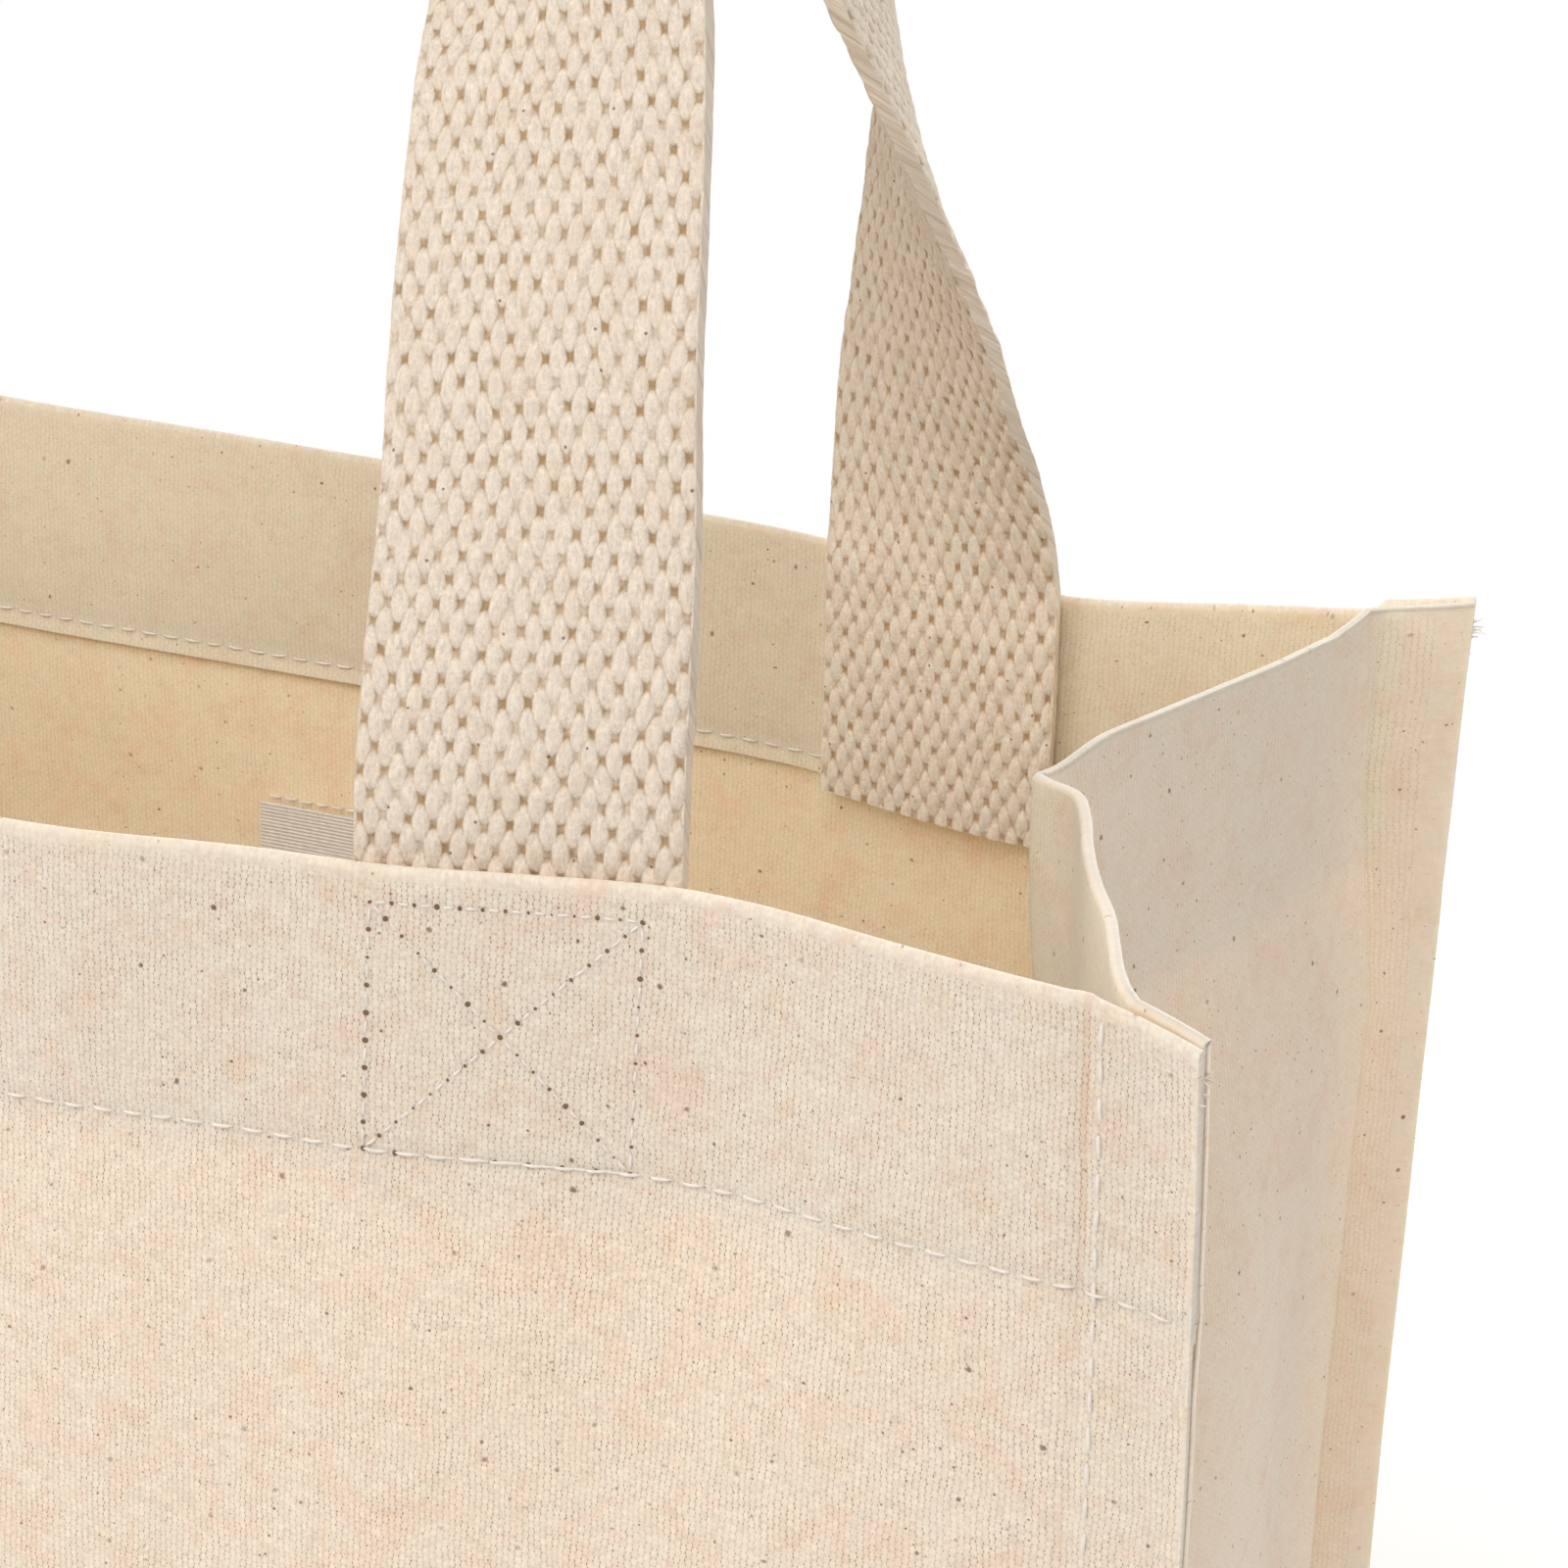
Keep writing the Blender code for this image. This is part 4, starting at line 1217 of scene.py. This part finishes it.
# %% Legs and turns of the handles
FRONT_LEG_OUT = smooth_table(
    [(-30, -2.2), (-2, -2.5), (20, -2.6), (33, -2.7), (43, -2.9), (63, -2.1), (76, -0.4), (95, 0)]
    + [(131, 0)]
)
BACK_LEG_OUT = smooth_table(
    [(-30, 2.0), (-12, 1.9), (2, 1.4), (12, 0.5), (19, 0.1), (29, 0.3), (36, 0.4), (44, 0.7)]
    + [(52, 1.4), (65, 2.2), (80, 2.0), (100, 1.0), (131, 0)]
)


def webbing_turn(front, climb):
    """The webbing's turn about its line at a share of the way up its leg, in radians."""
    if front:
        return -math.pi / 2 * np.sin(math.pi / 2 * climb) ** 5.0
    return math.pi / 2 * np.sin(math.pi / 2 * np.minimum(climb / 0.58, 1))


def handle_frame(front):
    """A handle's own line, with the directions across the webbing and through it."""
    line = LINE.copy()
    leg_out = FRONT_LEG_OUT if front else BACK_LEG_OUT
    line[:, 0] = line[:, 0] + np.sign(LINE[:, 0]) * leg_out(LINE[:, 2] / MM) * MM
    along = unit(np.gradient(line, axis=0))
    inward = np.array([0.0, 1.0, 0.0])
    level = unit(inward - along * (along @ inward)[:, None])
    beside = np.cross(level, along)
    total = TRAVEL[-1] - 2 * SEWN_LENGTH
    climb = np.clip((TRAVEL - SEWN_LENGTH) / total, 0, 1)
    turn = webbing_turn(front, 1 - np.abs(1 - 2 * climb))
    across = beside * np.cos(turn)[:, None] + level * np.sin(turn)[:, None]
    return line, across, np.cross(along, across)


print("back webbing's turn halfway up:", round(math.degrees(webbing_turn(False, 0.5))), "degrees")

# %% [markdown]
# A point of the woven face has a flat place: so many mm across and so many along. A
# little noise moves that place, because no two cords of the real webbing are alike.


# %% Woven faces
def handle_faces(front, columns=78):
    """Both woven faces of a handle as grids in the bag's frame, with their flat places."""
    line, across, through = handle_frame(front)
    half_width = WEBBING_WIDTH / MM / 2
    u = np.linspace(-half_width, half_width, columns + 1)
    grid_u, grid_v = np.meshgrid(u, TRAVEL / MM)
    seed = 81 if front else 82
    flat_u = grid_u + half_width + 0.10 * soft_noise(grid_v, grid_u, 8, seed)
    flat_v = grid_v + 0.16 * soft_noise(grid_v, grid_u, 9, seed + 10)
    flat_v = flat_v + 0.26 * soft_noise(grid_v * 0.2, grid_u * 1.6, 6, seed + 20)
    edge = np.clip((half_width - np.abs(grid_u)) / 1.2, 0, 1)
    thick = (0.74 + 0.26 * np.sqrt(edge)) * WEBBING_THICKNESS / 2
    tall = KNUCKLE_TALL * (0.9 + 0.2 * soft_noise(grid_v, grid_u, 6, seed + 30))
    relief_out = webbing_height(flat_u, flat_v) * tall
    relief_in = webbing_height(flat_u, flat_v + CORD_STEP / 2) * tall
    waver = soft_noise(grid_v, grid_u * 0.3, 46, 71 if front else 72) * 0.35 * MM
    up_leg = np.clip((TRAVEL - SEWN_LENGTH) / 0.03, 0, 1)
    down_leg = np.clip((TRAVEL[-1] - SEWN_LENGTH - TRAVEL) / 0.03, 0, 1)
    waver = waver * (up_leg * down_leg)[:, None]
    base = line[:, None, :] + across[:, None, :] * (grid_u * MM)[..., None]
    base = base + through[:, None, :] * waver[..., None]
    outer = base - through[:, None, :] * (thick - WEBBING_CORE_IN + relief_out)[..., None]
    inner = base + through[:, None, :] * (thick - WEBBING_CORE_IN + relief_in)[..., None]
    uv_out = np.stack([flat_u, flat_v], axis=-1)
    uv_in = np.stack([flat_u, flat_v + CORD_STEP / 2], axis=-1)
    return outer, inner, uv_out, uv_in


def in_bag(front, points):
    """Handle points, given about the fold line, set in the bag's frame with the wall's sag."""
    close = eased(np.clip(1 - points[..., 2] / 0.05, 0, 1))
    up_frame = np.clip(-points[..., 2] / 0.01, 0, 1)
    local_in = WEBBING_MID_Y - FOLD_OFFSET + points[..., 1]
    on_cloth = np.minimum(BODY_HEIGHT + points[..., 2], BODY_HEIGHT)
    sewn_in, sewn_up = sag(front, points[..., 0], on_cloth)
    blend_in = np.where(points[..., 2] < 0, sewn_in, sewn_in * close)
    blend_up = np.where(points[..., 2] < 0, sewn_up, sewn_up * close)
    foot = place(True, 0, WEBBING_MID_Y - FOLD_OFFSET, BODY_HEIGHT)
    upright = np.stack(
        [points[..., 0], foot[1] + points[..., 1] + blend_in, foot[2] + points[..., 2] + blend_up],
        axis=-1,
    )
    flat = place(True, points[..., 0], local_in + blend_in, BODY_HEIGHT + points[..., 2] + blend_up)
    world = upright + (flat - upright) * up_frame[..., None]
    if not front:
        world = world * (-1, -1, 1)
    return world


def handle_piece(front, name, low_row, high_row, faces):
    """One stretch of a handle between two rows of its line."""
    outer, inner, uv_out, uv_in = faces
    rows = slice(low_row, high_row + 1)
    grids = [in_bag(front, outer[rows]), in_bag(front, inner[rows])]
    material = webbing if front else webbing_back
    return cloth_mesh(name, grids, [uv_out[rows], uv_in[rows]], material)


print("points of one woven face:", handle_faces(True)[0].shape[:2])

# %% [markdown]
# A handle is cut where it moves. Its arch swings with its own body, its sewn ends stay
# on the wall, and a short stretch between them bends over the rim. As the bag folds, each
# arch goes flat into a plane of its own, so that the two lie side by side.

# %% Handle pieces
FRONT_ARCH_PLANE = -0.0532
BACK_ARCH_PLANE = 0.0527
ARCH_KEPT = 0.04
SEWN = int(np.argmax(TRAVEL > SEWN_LENGTH - 0.003))
SPLIT = int(np.argmax(TRAVEL > SEWN_LENGTH + 0.006))
print("rows in a sewn end:", SEWN, "and in its fold:", SPLIT - SEWN)

LAST = len(LINE) - 1
for front, prefix in ((True, "front"), (False, "back")):
    faces = handle_faces(front)
    body = f"{prefix}_arch"
    wall = f"{prefix}_wall"
    rim_y = -MOUTH_DEPTH / 2 if front else MOUTH_DEPTH / 2
    arch = handle_piece(front, f"{prefix}_handle_webbing", SPLIT, LAST - SPLIT, faces)
    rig.replaces(arch, f"{prefix}_handle")
    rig.slot(arch, "webbing")
    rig.ride(arch, body)
    arch_y = FRONT_ARCH_PLANE if front else BACK_ARCH_PLANE
    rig.squash(arch, "fold_flat", axis=(0, 1, 0), anchor=(0, arch_y, 0), keep=ARCH_KEPT)
    first_side, last_side = ("right", "left") if front else ("left", "right")
    for side, sewn, bent in (
        (first_side, (0, SEWN), (SEWN, SPLIT)),
        (last_side, (LAST - SEWN, LAST), (LAST - SPLIT, LAST - SEWN)),
    ):
        end = handle_piece(front, f"{prefix}_webbing_end_{side}", *sewn, faces)
        ride_wall(end, front)
        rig.replaces(end, f"{prefix}_handle_end_{side}")
        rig.slot(end, "webbing")
        fold = handle_piece(front, f"{prefix}_webbing_fold_{side}", *bent, faces)
        x = LEG_X if side == "right" else -LEG_X
        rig.blend(fold, wall, body, (x, rim_y, RIM_Z - 0.002), (x, rim_y, RIM_Z + 0.006))
        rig.slot(fold, "webbing")

# %% [markdown]
# ## Stitching
#
# Every visible row is made of single stitches that dip into the cloth at both ends. A
# stitch is a short rounded bar. In the boxes a dark needle hole shows between two
# stitches. Rows follow the cloth they are sewn to, so its own functions place them.


# %% Stitch maker
STITCH_SIDES = 6
STITCH_RINGS = ((-1.0, 0.0, -1.0), (-0.86, 0.62, -0.25), (-0.45, 0.95, 0.35), (0.0, 1.0, 0.5))
STITCH_RINGS = STITCH_RINGS + ((0.45, 0.95, 0.35), (0.86, 0.62, -0.25), (1.0, 0.0, -1.0))


def small_mesh(name, verts, faces, materials, kinds=None):
    """A mesh from lists of points and faces, with its places in mm as its flat places."""
    mesh = bpy.data.meshes.new(name)
    mesh.from_pydata([tuple(p) for p in verts], [], faces)
    for material in materials:
        mesh.materials.append(material)
    if kinds:
        mesh.polygons.foreach_set("material_index", kinds)
    layer = mesh.uv_layers.new(name="cloth")
    co = np.array(verts)[[v for f in faces for v in f]] / MM
    layer.data.foreach_set("uv", co[:, [0, 2]].astype(np.float32).ravel())
    mesh.shade_smooth()
    thing = bpy.data.objects.new(name, mesh)
    bpy.context.collection.objects.link(thing)
    return thing


def add_tube(faces, first, rings, sides):
    """Faces of a closed tube whose rings of points were added from index first on."""
    for r in range(rings - 1):
        for k in range(sides):
            a = first + r * sides + k
            b = first + r * sides + (k + 1) % sides
            faces.append((a, b, b + sides, a + sides))
    faces.append(tuple(first + k for k in range(sides))[::-1])
    top = first + (rings - 1) * sides
    faces.append(tuple(top + k for k in range(sides)))


def stitch_row(name, points, normals, length, width, tall, gap_share=0.18, hole=0.0, seed=1):
    """A row of stitches along points, on a surface with these normals.

    Each stitch is a bar that dips at both ends. hole is the width of a needle hole.
    """
    points = np.asarray(points, float)
    normals = np.asarray(normals, float)
    travel = travel_along(points)
    count = max(1, int(round(travel[-1] / length)))
    rng = np.random.default_rng(seed)
    verts = []
    faces = []

    def at(distance):
        where = np.array([np.interp(distance, travel, points[:, k]) for k in range(3)])
        out = np.array([np.interp(distance, travel, normals[:, k]) for k in range(3)])
        return where, unit(out)

    step = travel[-1] / count
    for i in range(count):
        middle = (i + 0.5) * step
        reach = step * (1 - gap_share) / 2 * rng.uniform(0.94, 1.05)
        before, _ = at(middle - reach)
        after, _ = at(middle + reach)
        along = unit(after - before)
        beside = np.cross(at(middle)[1], along)
        skew = rng.uniform(-0.06, 0.06)
        first = len(verts)
        for share, size, lift in STITCH_RINGS:
            spot, up = at(middle + reach * share)
            spot = spot + up * tall * lift + beside * skew * width * share * 4
            size = max(size, 0.12)
            for k in range(STITCH_SIDES):
                a = 2 * math.pi * k / STITCH_SIDES
                aside = beside * math.cos(a) * width / 2 * size
                verts.append(spot + aside + up * math.sin(a) * tall / 2 * size)
        add_tube(faces, first, len(STITCH_RINGS), STITCH_SIDES)
    kinds = [0] * len(faces)
    for i in range(count + 1 if hole else 0):
        here, out = at(min(max(i * step, 0.0001), travel[-1] - 0.0001))
        ahead, _ = at(min(i * step + 0.0004, travel[-1]))
        back, _ = at(max(i * step - 0.0004, 0))
        along = (ahead - back) / max(np.linalg.norm(ahead - back), 1e-9)
        beside = np.cross(out, along)
        first = len(verts)
        wide = hole / 2 * rng.uniform(0.55, 1.5)
        for k in range(8):
            a = 2 * math.pi * k / 8
            around = along * math.cos(a) * wide * 0.9 + beside * math.sin(a) * wide
            verts.append(here + out * 0.00005 + around)
        faces.append(tuple(first + k for k in range(8)))
        kinds.append(1)
    return small_mesh(name, verts, faces, [thread, needle_hole], kinds)


print("points of one stitch:", STITCH_SIDES * len(STITCH_RINGS))

# %% [markdown]
# Stitches lie on the sagging cloth, so their places come from the wall's own shape: a
# place on the pattern, lifted off the cloth by so much, with the cloth's direction there.


# %% Places on a wall
def wall_spot(front, x, height, lift, inside=False):
    """A place on a wall's outer or inner face with its normal, for stitching."""
    x = np.asarray(x, float)
    height = np.asarray(height, float) + 0 * x
    x = x + 0 * height
    face = lift if inside else -lift
    small = 0.0005
    here = on_wall(front, x, height, face)
    across = on_wall(front, x + small, height, face) - on_wall(front, x - small, height, face)
    up = on_wall(front, x, height + small, face) - on_wall(front, x, height - small, face)
    normal = unit(np.cross(across, up))
    if inside:
        normal = -normal
    return here, normal


print("a stitch place at the front rim:", wall_spot(True, 0.0, BODY_HEIGHT, 0.0)[0].round(4))

# %% [markdown]
# The hem is held by one straight row, which shows outside and inside. Each handle end
# is held by a box with a cross in it, whose thread sinks into the cloth so that mostly
# its needle holes show. The corner seams have longer and heavier stitches.

# %% Hem, box and corner stitches
STITCH_H = BODY_HEIGHT - HEM_STITCH
HEM_STEP = 0.0029
SEAM_STEP = 0.0034
HEM_THREAD = (0.00034, 0.00026)
CORNER_THREAD = (0.00042, 0.00034)
CORNER_ROW = 0.0016
BOX_DROP = 0.0032
HEM_FACE = CLOTH / 2 + 2 * RIM_TURN * CLOTH + CLOTH / 2
BOX_HALF_WIDTH = 0.0120
BOX_THREAD = 0.00028
HEM_GAP = 0.30
BOX_GAP = 0.40
CORNER_GAP = 0.16
NEEDLE_HOLE = 0.00042
for front, prefix in ((True, "front"), (False, "back")):
    x = np.linspace(-HALF_WIDTH + 0.0005, HALF_WIDTH + SEAM_FLANGE - 0.0015, 240)
    at, out = wall_spot(front, x, STITCH_H, 0.00002)
    row = stitch_row(f"{prefix}_hem_stitches", at, out, HEM_STEP, *HEM_THREAD, HEM_GAP, seed=5)
    ride_wall(row, front)
    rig.replaces(row, f"{prefix}_hem_thread")
    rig.slot(row, "thread")
    x = np.linspace(-HALF_WIDTH + 0.003, HALF_WIDTH - 0.003, 240)
    at, out = wall_spot(front, x, STITCH_H, HEM_FACE + 0.00002, inside=True)
    title = f"{prefix}_hem_stitches_inside"
    row = stitch_row(title, at, out, HEM_STEP, *HEM_THREAD, HEM_GAP, seed=6)
    ride_wall(row, front)
    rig.slot(row, "thread")
    for side, name in ((1, "right"), (-1, "left")):
        local = side if front else -side
        box_middle = local * (LEG_X + (-0.0024 if front else 0.0018))
        left = box_middle - BOX_HALF_WIDTH
        right = box_middle + BOX_HALF_WIDTH
        high = BODY_HEIGHT - BOX_DROP
        low = STITCH_H
        lines = [
            ((left, high), (right, high), 0.0020),
            ((right, high), (right, low), 0.0025),
            ((left, high), (left, low), 0.0025),
            ((left, low), (right, high), 0.0021),
            ((left, high), (right, low), 0.0021),
            ((left, low), (right, low), 0.0031),
        ]
        for i, ((ax, ah), (bx, bh), step) in enumerate(lines):
            line_x = np.linspace(ax, bx, 24)
            line_h = np.linspace(ah, bh, 24)
            at, out = wall_spot(front, line_x, line_h, -0.00004)
            # The lowest side lies on the hem's own row, so it stands up less.
            box_thread = (BOX_THREAD, 0.00006 if i == 5 else 0.00020)
            title = f"{prefix}_box_stitches_{name}_{i}"
            row = stitch_row(title, at, out, step, *box_thread, BOX_GAP, NEEDLE_HOLE, 7 + i)
            ride_wall(row, front)
            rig.slot(row, "thread")
            if i == 0:
                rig.replaces(row, f"{prefix}_box_stitch_{name}")
        stitch_x = local * (HALF_WIDTH + CORNER_ROW)
        heights = np.linspace(BODY_HEIGHT - 0.0010, 0.002, 160)
        at, out = wall_spot(front, stitch_x + 0 * heights, heights, -0.00010)
        title = f"{prefix}_corner_stitches_{name}"
        row = stitch_row(title, at, out, SEAM_STEP, *CORNER_THREAD, CORNER_GAP, seed=9)
        ride_wall(row, front)
        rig.replaces(row, f"{prefix}_corner_thread_{name}")
        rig.slot(row, "thread")
print("hem stitches stand mm under the rim:", round(HEM_STITCH / MM, 1))

# %% [markdown]
# The gusset's hem has the same row, and it follows the folded cloth. The bottom seam
# shows as one row round the foot of the bag.

# %% Gusset and bottom stitches
FOOT_ROW = 0.0022
FOOT_THREAD = (0.00040, 0.00030)


def gusset_row(name, row_height, title, seed):
    """A row of stitches across one gusset at a height, following its folds."""
    middle, outward = gussets[name]
    nearest = int(np.argmin(np.abs(wall_rows()[:100, 0] - row_height)))
    part = slice(GUSSET_FLANGE_POINTS + 2, -GUSSET_FLANGE_POINTS - 2)
    out = outward[nearest, part]
    at = middle[nearest, part] + out * (GUSSET_CLOTH / 2 + 0.00002)
    row = stitch_row(title, at, out, HEM_STEP, *FOOT_THREAD, 0.30, seed=seed)
    follow_both_walls(row)
    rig.slot(row, "thread")
    return row


for name in gussets:
    row = gusset_row(name, STITCH_H, f"{name}_gusset_hem_stitches", 13)
    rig.replaces(row, f"{name}_gusset_hem_thread")
for front, prefix, seed in ((True, "front", 14), (False, "back", 15)):
    x = np.linspace(-HALF_WIDTH + 0.004, HALF_WIDTH - 0.004, 120)
    at, out = wall_spot(front, x, FOOT_ROW, 0.00002)
    title = f"{prefix}_bottom_stitches"
    row = stitch_row(title, at, out, HEM_STEP, *FOOT_THREAD, 0.30, seed=seed)
    ride_wall(row, front)
    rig.slot(row, "thread")
    if front:
        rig.replaces(row, "bottom_seam_thread")
for name in gussets:
    gusset_row(name, FOOT_ROW, f"{name}_bottom_stitches", 16)
print("foot stitches stand mm above the ground:", FOOT_ROW / MM)

# %% [markdown]
# A cut edge of canvas frays. At the top of each corner seam a few loose threads stand
# out of the flange's tip, and the eye reads them as a soft pale tuft.


# %% Frayed tips
def frayed_tip(name, front, side, seed, count=26):
    """A tuft of short bent threads at the top of one corner flange."""
    rng = np.random.default_rng(seed)
    local = side if front else -side
    verts = []
    faces = []
    for _ in range(count):
        height = BODY_HEIGHT - 0.0022 - 0.0006 - abs(rng.normal(0, 0.0012))
        x = local * (HALF_WIDTH + SEAM_FLANGE - 0.0004)
        root, _ = wall_spot(front, x, height, -rng.uniform(0.0002, 0.0024))
        outward = np.array([side, 0.0, 0.0])
        lean = np.array([rng.normal(0, 0.5), rng.normal(0, 0.9), rng.normal(0.35, 0.6)])
        way = unit(outward + lean * 0.8)
        bend = np.array([rng.normal(0, 1), rng.normal(0, 1), rng.normal(0, 1)]) * 0.0004
        length = rng.uniform(0.0006, 0.0016)
        beside = unit(np.cross(way, (0.3, 0.5, 0.8)))
        third = np.cross(way, beside)
        first = len(verts)
        for k, t in enumerate((0.0, 0.4, 0.75, 1.0)):
            spot = root + way * length * t + bend * t * t
            radius = (0.00009, 0.00008, 0.00006, 0.00002)[k]
            for side_at in range(4):
                a = math.pi / 2 * side_at
                verts.append(spot + beside * math.cos(a) * radius + third * math.sin(a) * radius)
        add_tube(faces, first, 4, 4)
    return small_mesh(name, verts, faces, [thread])


for front, prefix in ((True, "front"), (False, "back")):
    for side, name in ((1, "right"), (-1, "left")):
        tuft = frayed_tip(f"{prefix}_frayed_tip_{name}", front, side, 91 + 2 * side + front)
        ride_wall(tuft, front)
        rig.slot(tuft, "canvas")
print("frayed tips made")

# %% [markdown]
# ## Care label
#
# A plain ribbon is sewn to the inside of the back wall by its upper edge. It hangs
# free and curls off the cloth, which is what makes it readable as a separate piece. In
# the folded bag it crumples toward its sewn edge, so that it fits between the walls.


# %% Label
LABEL_WIDTH = 0.022
LABEL_LENGTH = 0.036
LABEL_DROP = 0.046
RIBBON = 0.0004
LABEL_KEPT = 0.15
LABEL_Z = (BODY_HEIGHT - LABEL_DROP) * math.cos(PANEL_LEAN)


def label_piece():
    """The ribbon, with a soft curl toward its free end."""
    top = BODY_HEIGHT - LABEL_DROP
    rows = np.linspace(0, LABEL_LENGTH, 30)
    x = np.linspace(-LABEL_WIDTH / 2, LABEL_WIDTH / 2, 16)
    across, down = np.meshgrid(x, rows)
    share = down / LABEL_LENGTH
    curl = 0.0004 + 0.0016 * share**2 + 0.0006 * (across / (LABEL_WIDTH / 2)) ** 2 * share
    shift_in, shift_up = sag(False, across, top - down)
    middle = place(False, across, CANVAS + RIBBON + curl + shift_in, top - down + shift_up)
    uv = np.stack([across / MM, down / MM], axis=-1)
    return sheet_of("care_label_ribbon", middle, uv, ribbon, RIBBON)


label = label_piece()
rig.ride(label, "label")
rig.squash(label, "fold_flat", axis=(0, 0, 1), anchor=(0, 0, LABEL_Z), keep=LABEL_KEPT)
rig.replaces(label, "care_label")
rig.slot(label, "label_ribbon")
x = np.linspace(-LABEL_WIDTH / 2 + 0.0005, LABEL_WIDTH / 2 - 0.0005, 30)
at, out = wall_spot(False, x, BODY_HEIGHT - LABEL_DROP + 0.0007, CANVAS + 0.0001, inside=True)
row = stitch_row("label_stitches", at, out, 0.0022, 0.0004, 0.0003, seed=12)
ride_wall(row, False)
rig.replaces(row, "label_thread")
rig.slot(row, "thread")
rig.sheet(label, flat=(LABEL_WIDTH, LABEL_LENGTH), held="hung", rests_on=[back_wall])
print("label vertices:", len(label.data.vertices))

# %% [markdown]
# ## Camera
#
# The camera's place and lens come from a fit to the photograph: a long lens a little
# to the right of the bag and above its rim, rolled by under three degrees.

# %% Camera
TURN = 0.3249
DOWN = 0.3465
ROLL = 0.047
LENS = 92.4
CAMERA_AT = Vector((0.1987, -0.3587, 0.3581))
level_ahead = Vector((-math.sin(TURN), math.cos(TURN), 0))
ahead = level_ahead * math.cos(DOWN) - Vector((0, 0, math.sin(DOWN)))
level_right = Vector((math.cos(TURN), math.sin(TURN), 0))
level_up = level_right.cross(ahead)
right = math.cos(ROLL) * level_right + math.sin(ROLL) * level_up
up = -math.sin(ROLL) * level_right + math.cos(ROLL) * level_up
camera = bpy.data.objects.new("camera", bpy.data.cameras.new("camera"))
bpy.context.collection.objects.link(camera)
axes = Matrix((right, up, -ahead)).transposed().to_4x4()
camera.matrix_world = Matrix.Translation(CAMERA_AT) @ axes
camera.data.lens = LENS
camera.data.sensor_width = 36
camera.data.clip_start = 0.01
camera.data.clip_end = 20
bpy.context.scene.camera = camera
print("camera at", tuple(round(v, 4) for v in CAMERA_AT))

# %% [markdown]
# ## Studio
#
# Four large soft lamps stand round the bag, out of the camera's sight. The key lamp is in
# front and above. A wide lamp on the left fills the front, and a weak one on the
# right lights the side. The back lamp matters most for the inside: its light
# passes through the thin cloth, as daylight does in the photograph. The world is white
# only where it is seen, directly, in a reflection or through something. The floor is a
# pale disc that fades into the white and keeps the bag's shadow.


# %% Lights, floor and world
def lamp(name, where, target, size, power, colour="#ffffff"):
    """A square area lamp that faces a target."""
    data = bpy.data.lights.new(name, "AREA")
    data.shape = "SQUARE"
    data.size = size
    data.energy = power
    data.color = srgb(colour)[:3]
    thing = bpy.data.objects.new(name, data)
    bpy.context.collection.objects.link(thing)
    thing.visible_camera = False
    thing.location = where
    look = (Vector(target) - Vector(where)).to_track_quat("-Z", "Y")
    thing.rotation_mode = "QUATERNION"
    thing.rotation_quaternion = look
    return thing


lamps = [
    lamp("key_lamp", (-0.1, -1.3, 1.75), (0, 0, 0.15), 1.4, 25),
    lamp("left_lamp", (-1.4, -1.3, 0.9), (0, 0, 0.15), 1.2, 17),
    lamp("side_lamp", (1.9, -0.6, 0.9), (0, 0, 0.12), 1.4, 13),
    lamp("back_lamp", (0.1, 1.5, 1.0), (0, 0, 0.15), 1.6, 32),
]

floor_material, tree, shader, flat = new_material("painted_studio_floor")
where = node(tree, "ShaderNodeTexCoord").outputs["Object"]
spread = node(tree, "ShaderNodeVectorMath", {"operation": "LENGTH"}, i0=where).outputs["Value"]
fade = Number(spread).ramp(0.35, 0.85)
set_inputs(shader, Base_Color=srgb("#f7f6f4"), Roughness=0.8)
clear = node(tree, "ShaderNodeBsdfTransparent").outputs[0]
blended = node(tree, "ShaderNodeMixShader", None, i0=fade, i1=shader.outputs[0], i2=clear)
tree.links.new(blended.outputs[0], tree.nodes["Material Output"].inputs["Surface"])
bpy.ops.mesh.primitive_circle_add(vertices=96, radius=0.9, fill_type="NGON")
floor = bpy.context.object
floor.location = (0, 0, -0.0004)
floor.name = "studio_floor"
floor.data.materials.append(floor_material)
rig.stage(floor)

world = bpy.data.worlds.new("studio")
bpy.context.scene.world = world
world.use_nodes = True
tree = world.node_tree
tree.nodes.clear()
path = node(tree, "ShaderNodeLightPath")
seen = Number(path.outputs["Is Camera Ray"]).larger(path.outputs["Is Glossy Ray"])
seen = seen.larger(path.outputs["Is Transmission Ray"])
strength = seen.times_plus(0.92, 0.08)
light = node(tree, "ShaderNodeBackground", None, Color=(1, 1, 1, 1), Strength=strength)
node(tree, "ShaderNodeOutputWorld", None, Surface=light.outputs[0])
bpy.context.scene.view_settings.view_transform = "Standard"
print("lamps:", [l.name for l in lamps])

# %% Sizes to disk and finish
bpy.context.view_layer.update()
shown_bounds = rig.bounds()
sizes = {
    "cad": [list(map(float, c)) for c in cad_bounds],
    "visual": [list(map(float, c)) for c in shown_bounds],
}
with open("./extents.json", "w") as file:
    json.dump(sizes, file, indent=1)
print("visual size mm:", [round((b - a) / MM, 1) for a, b in zip(*sizes["visual"])])
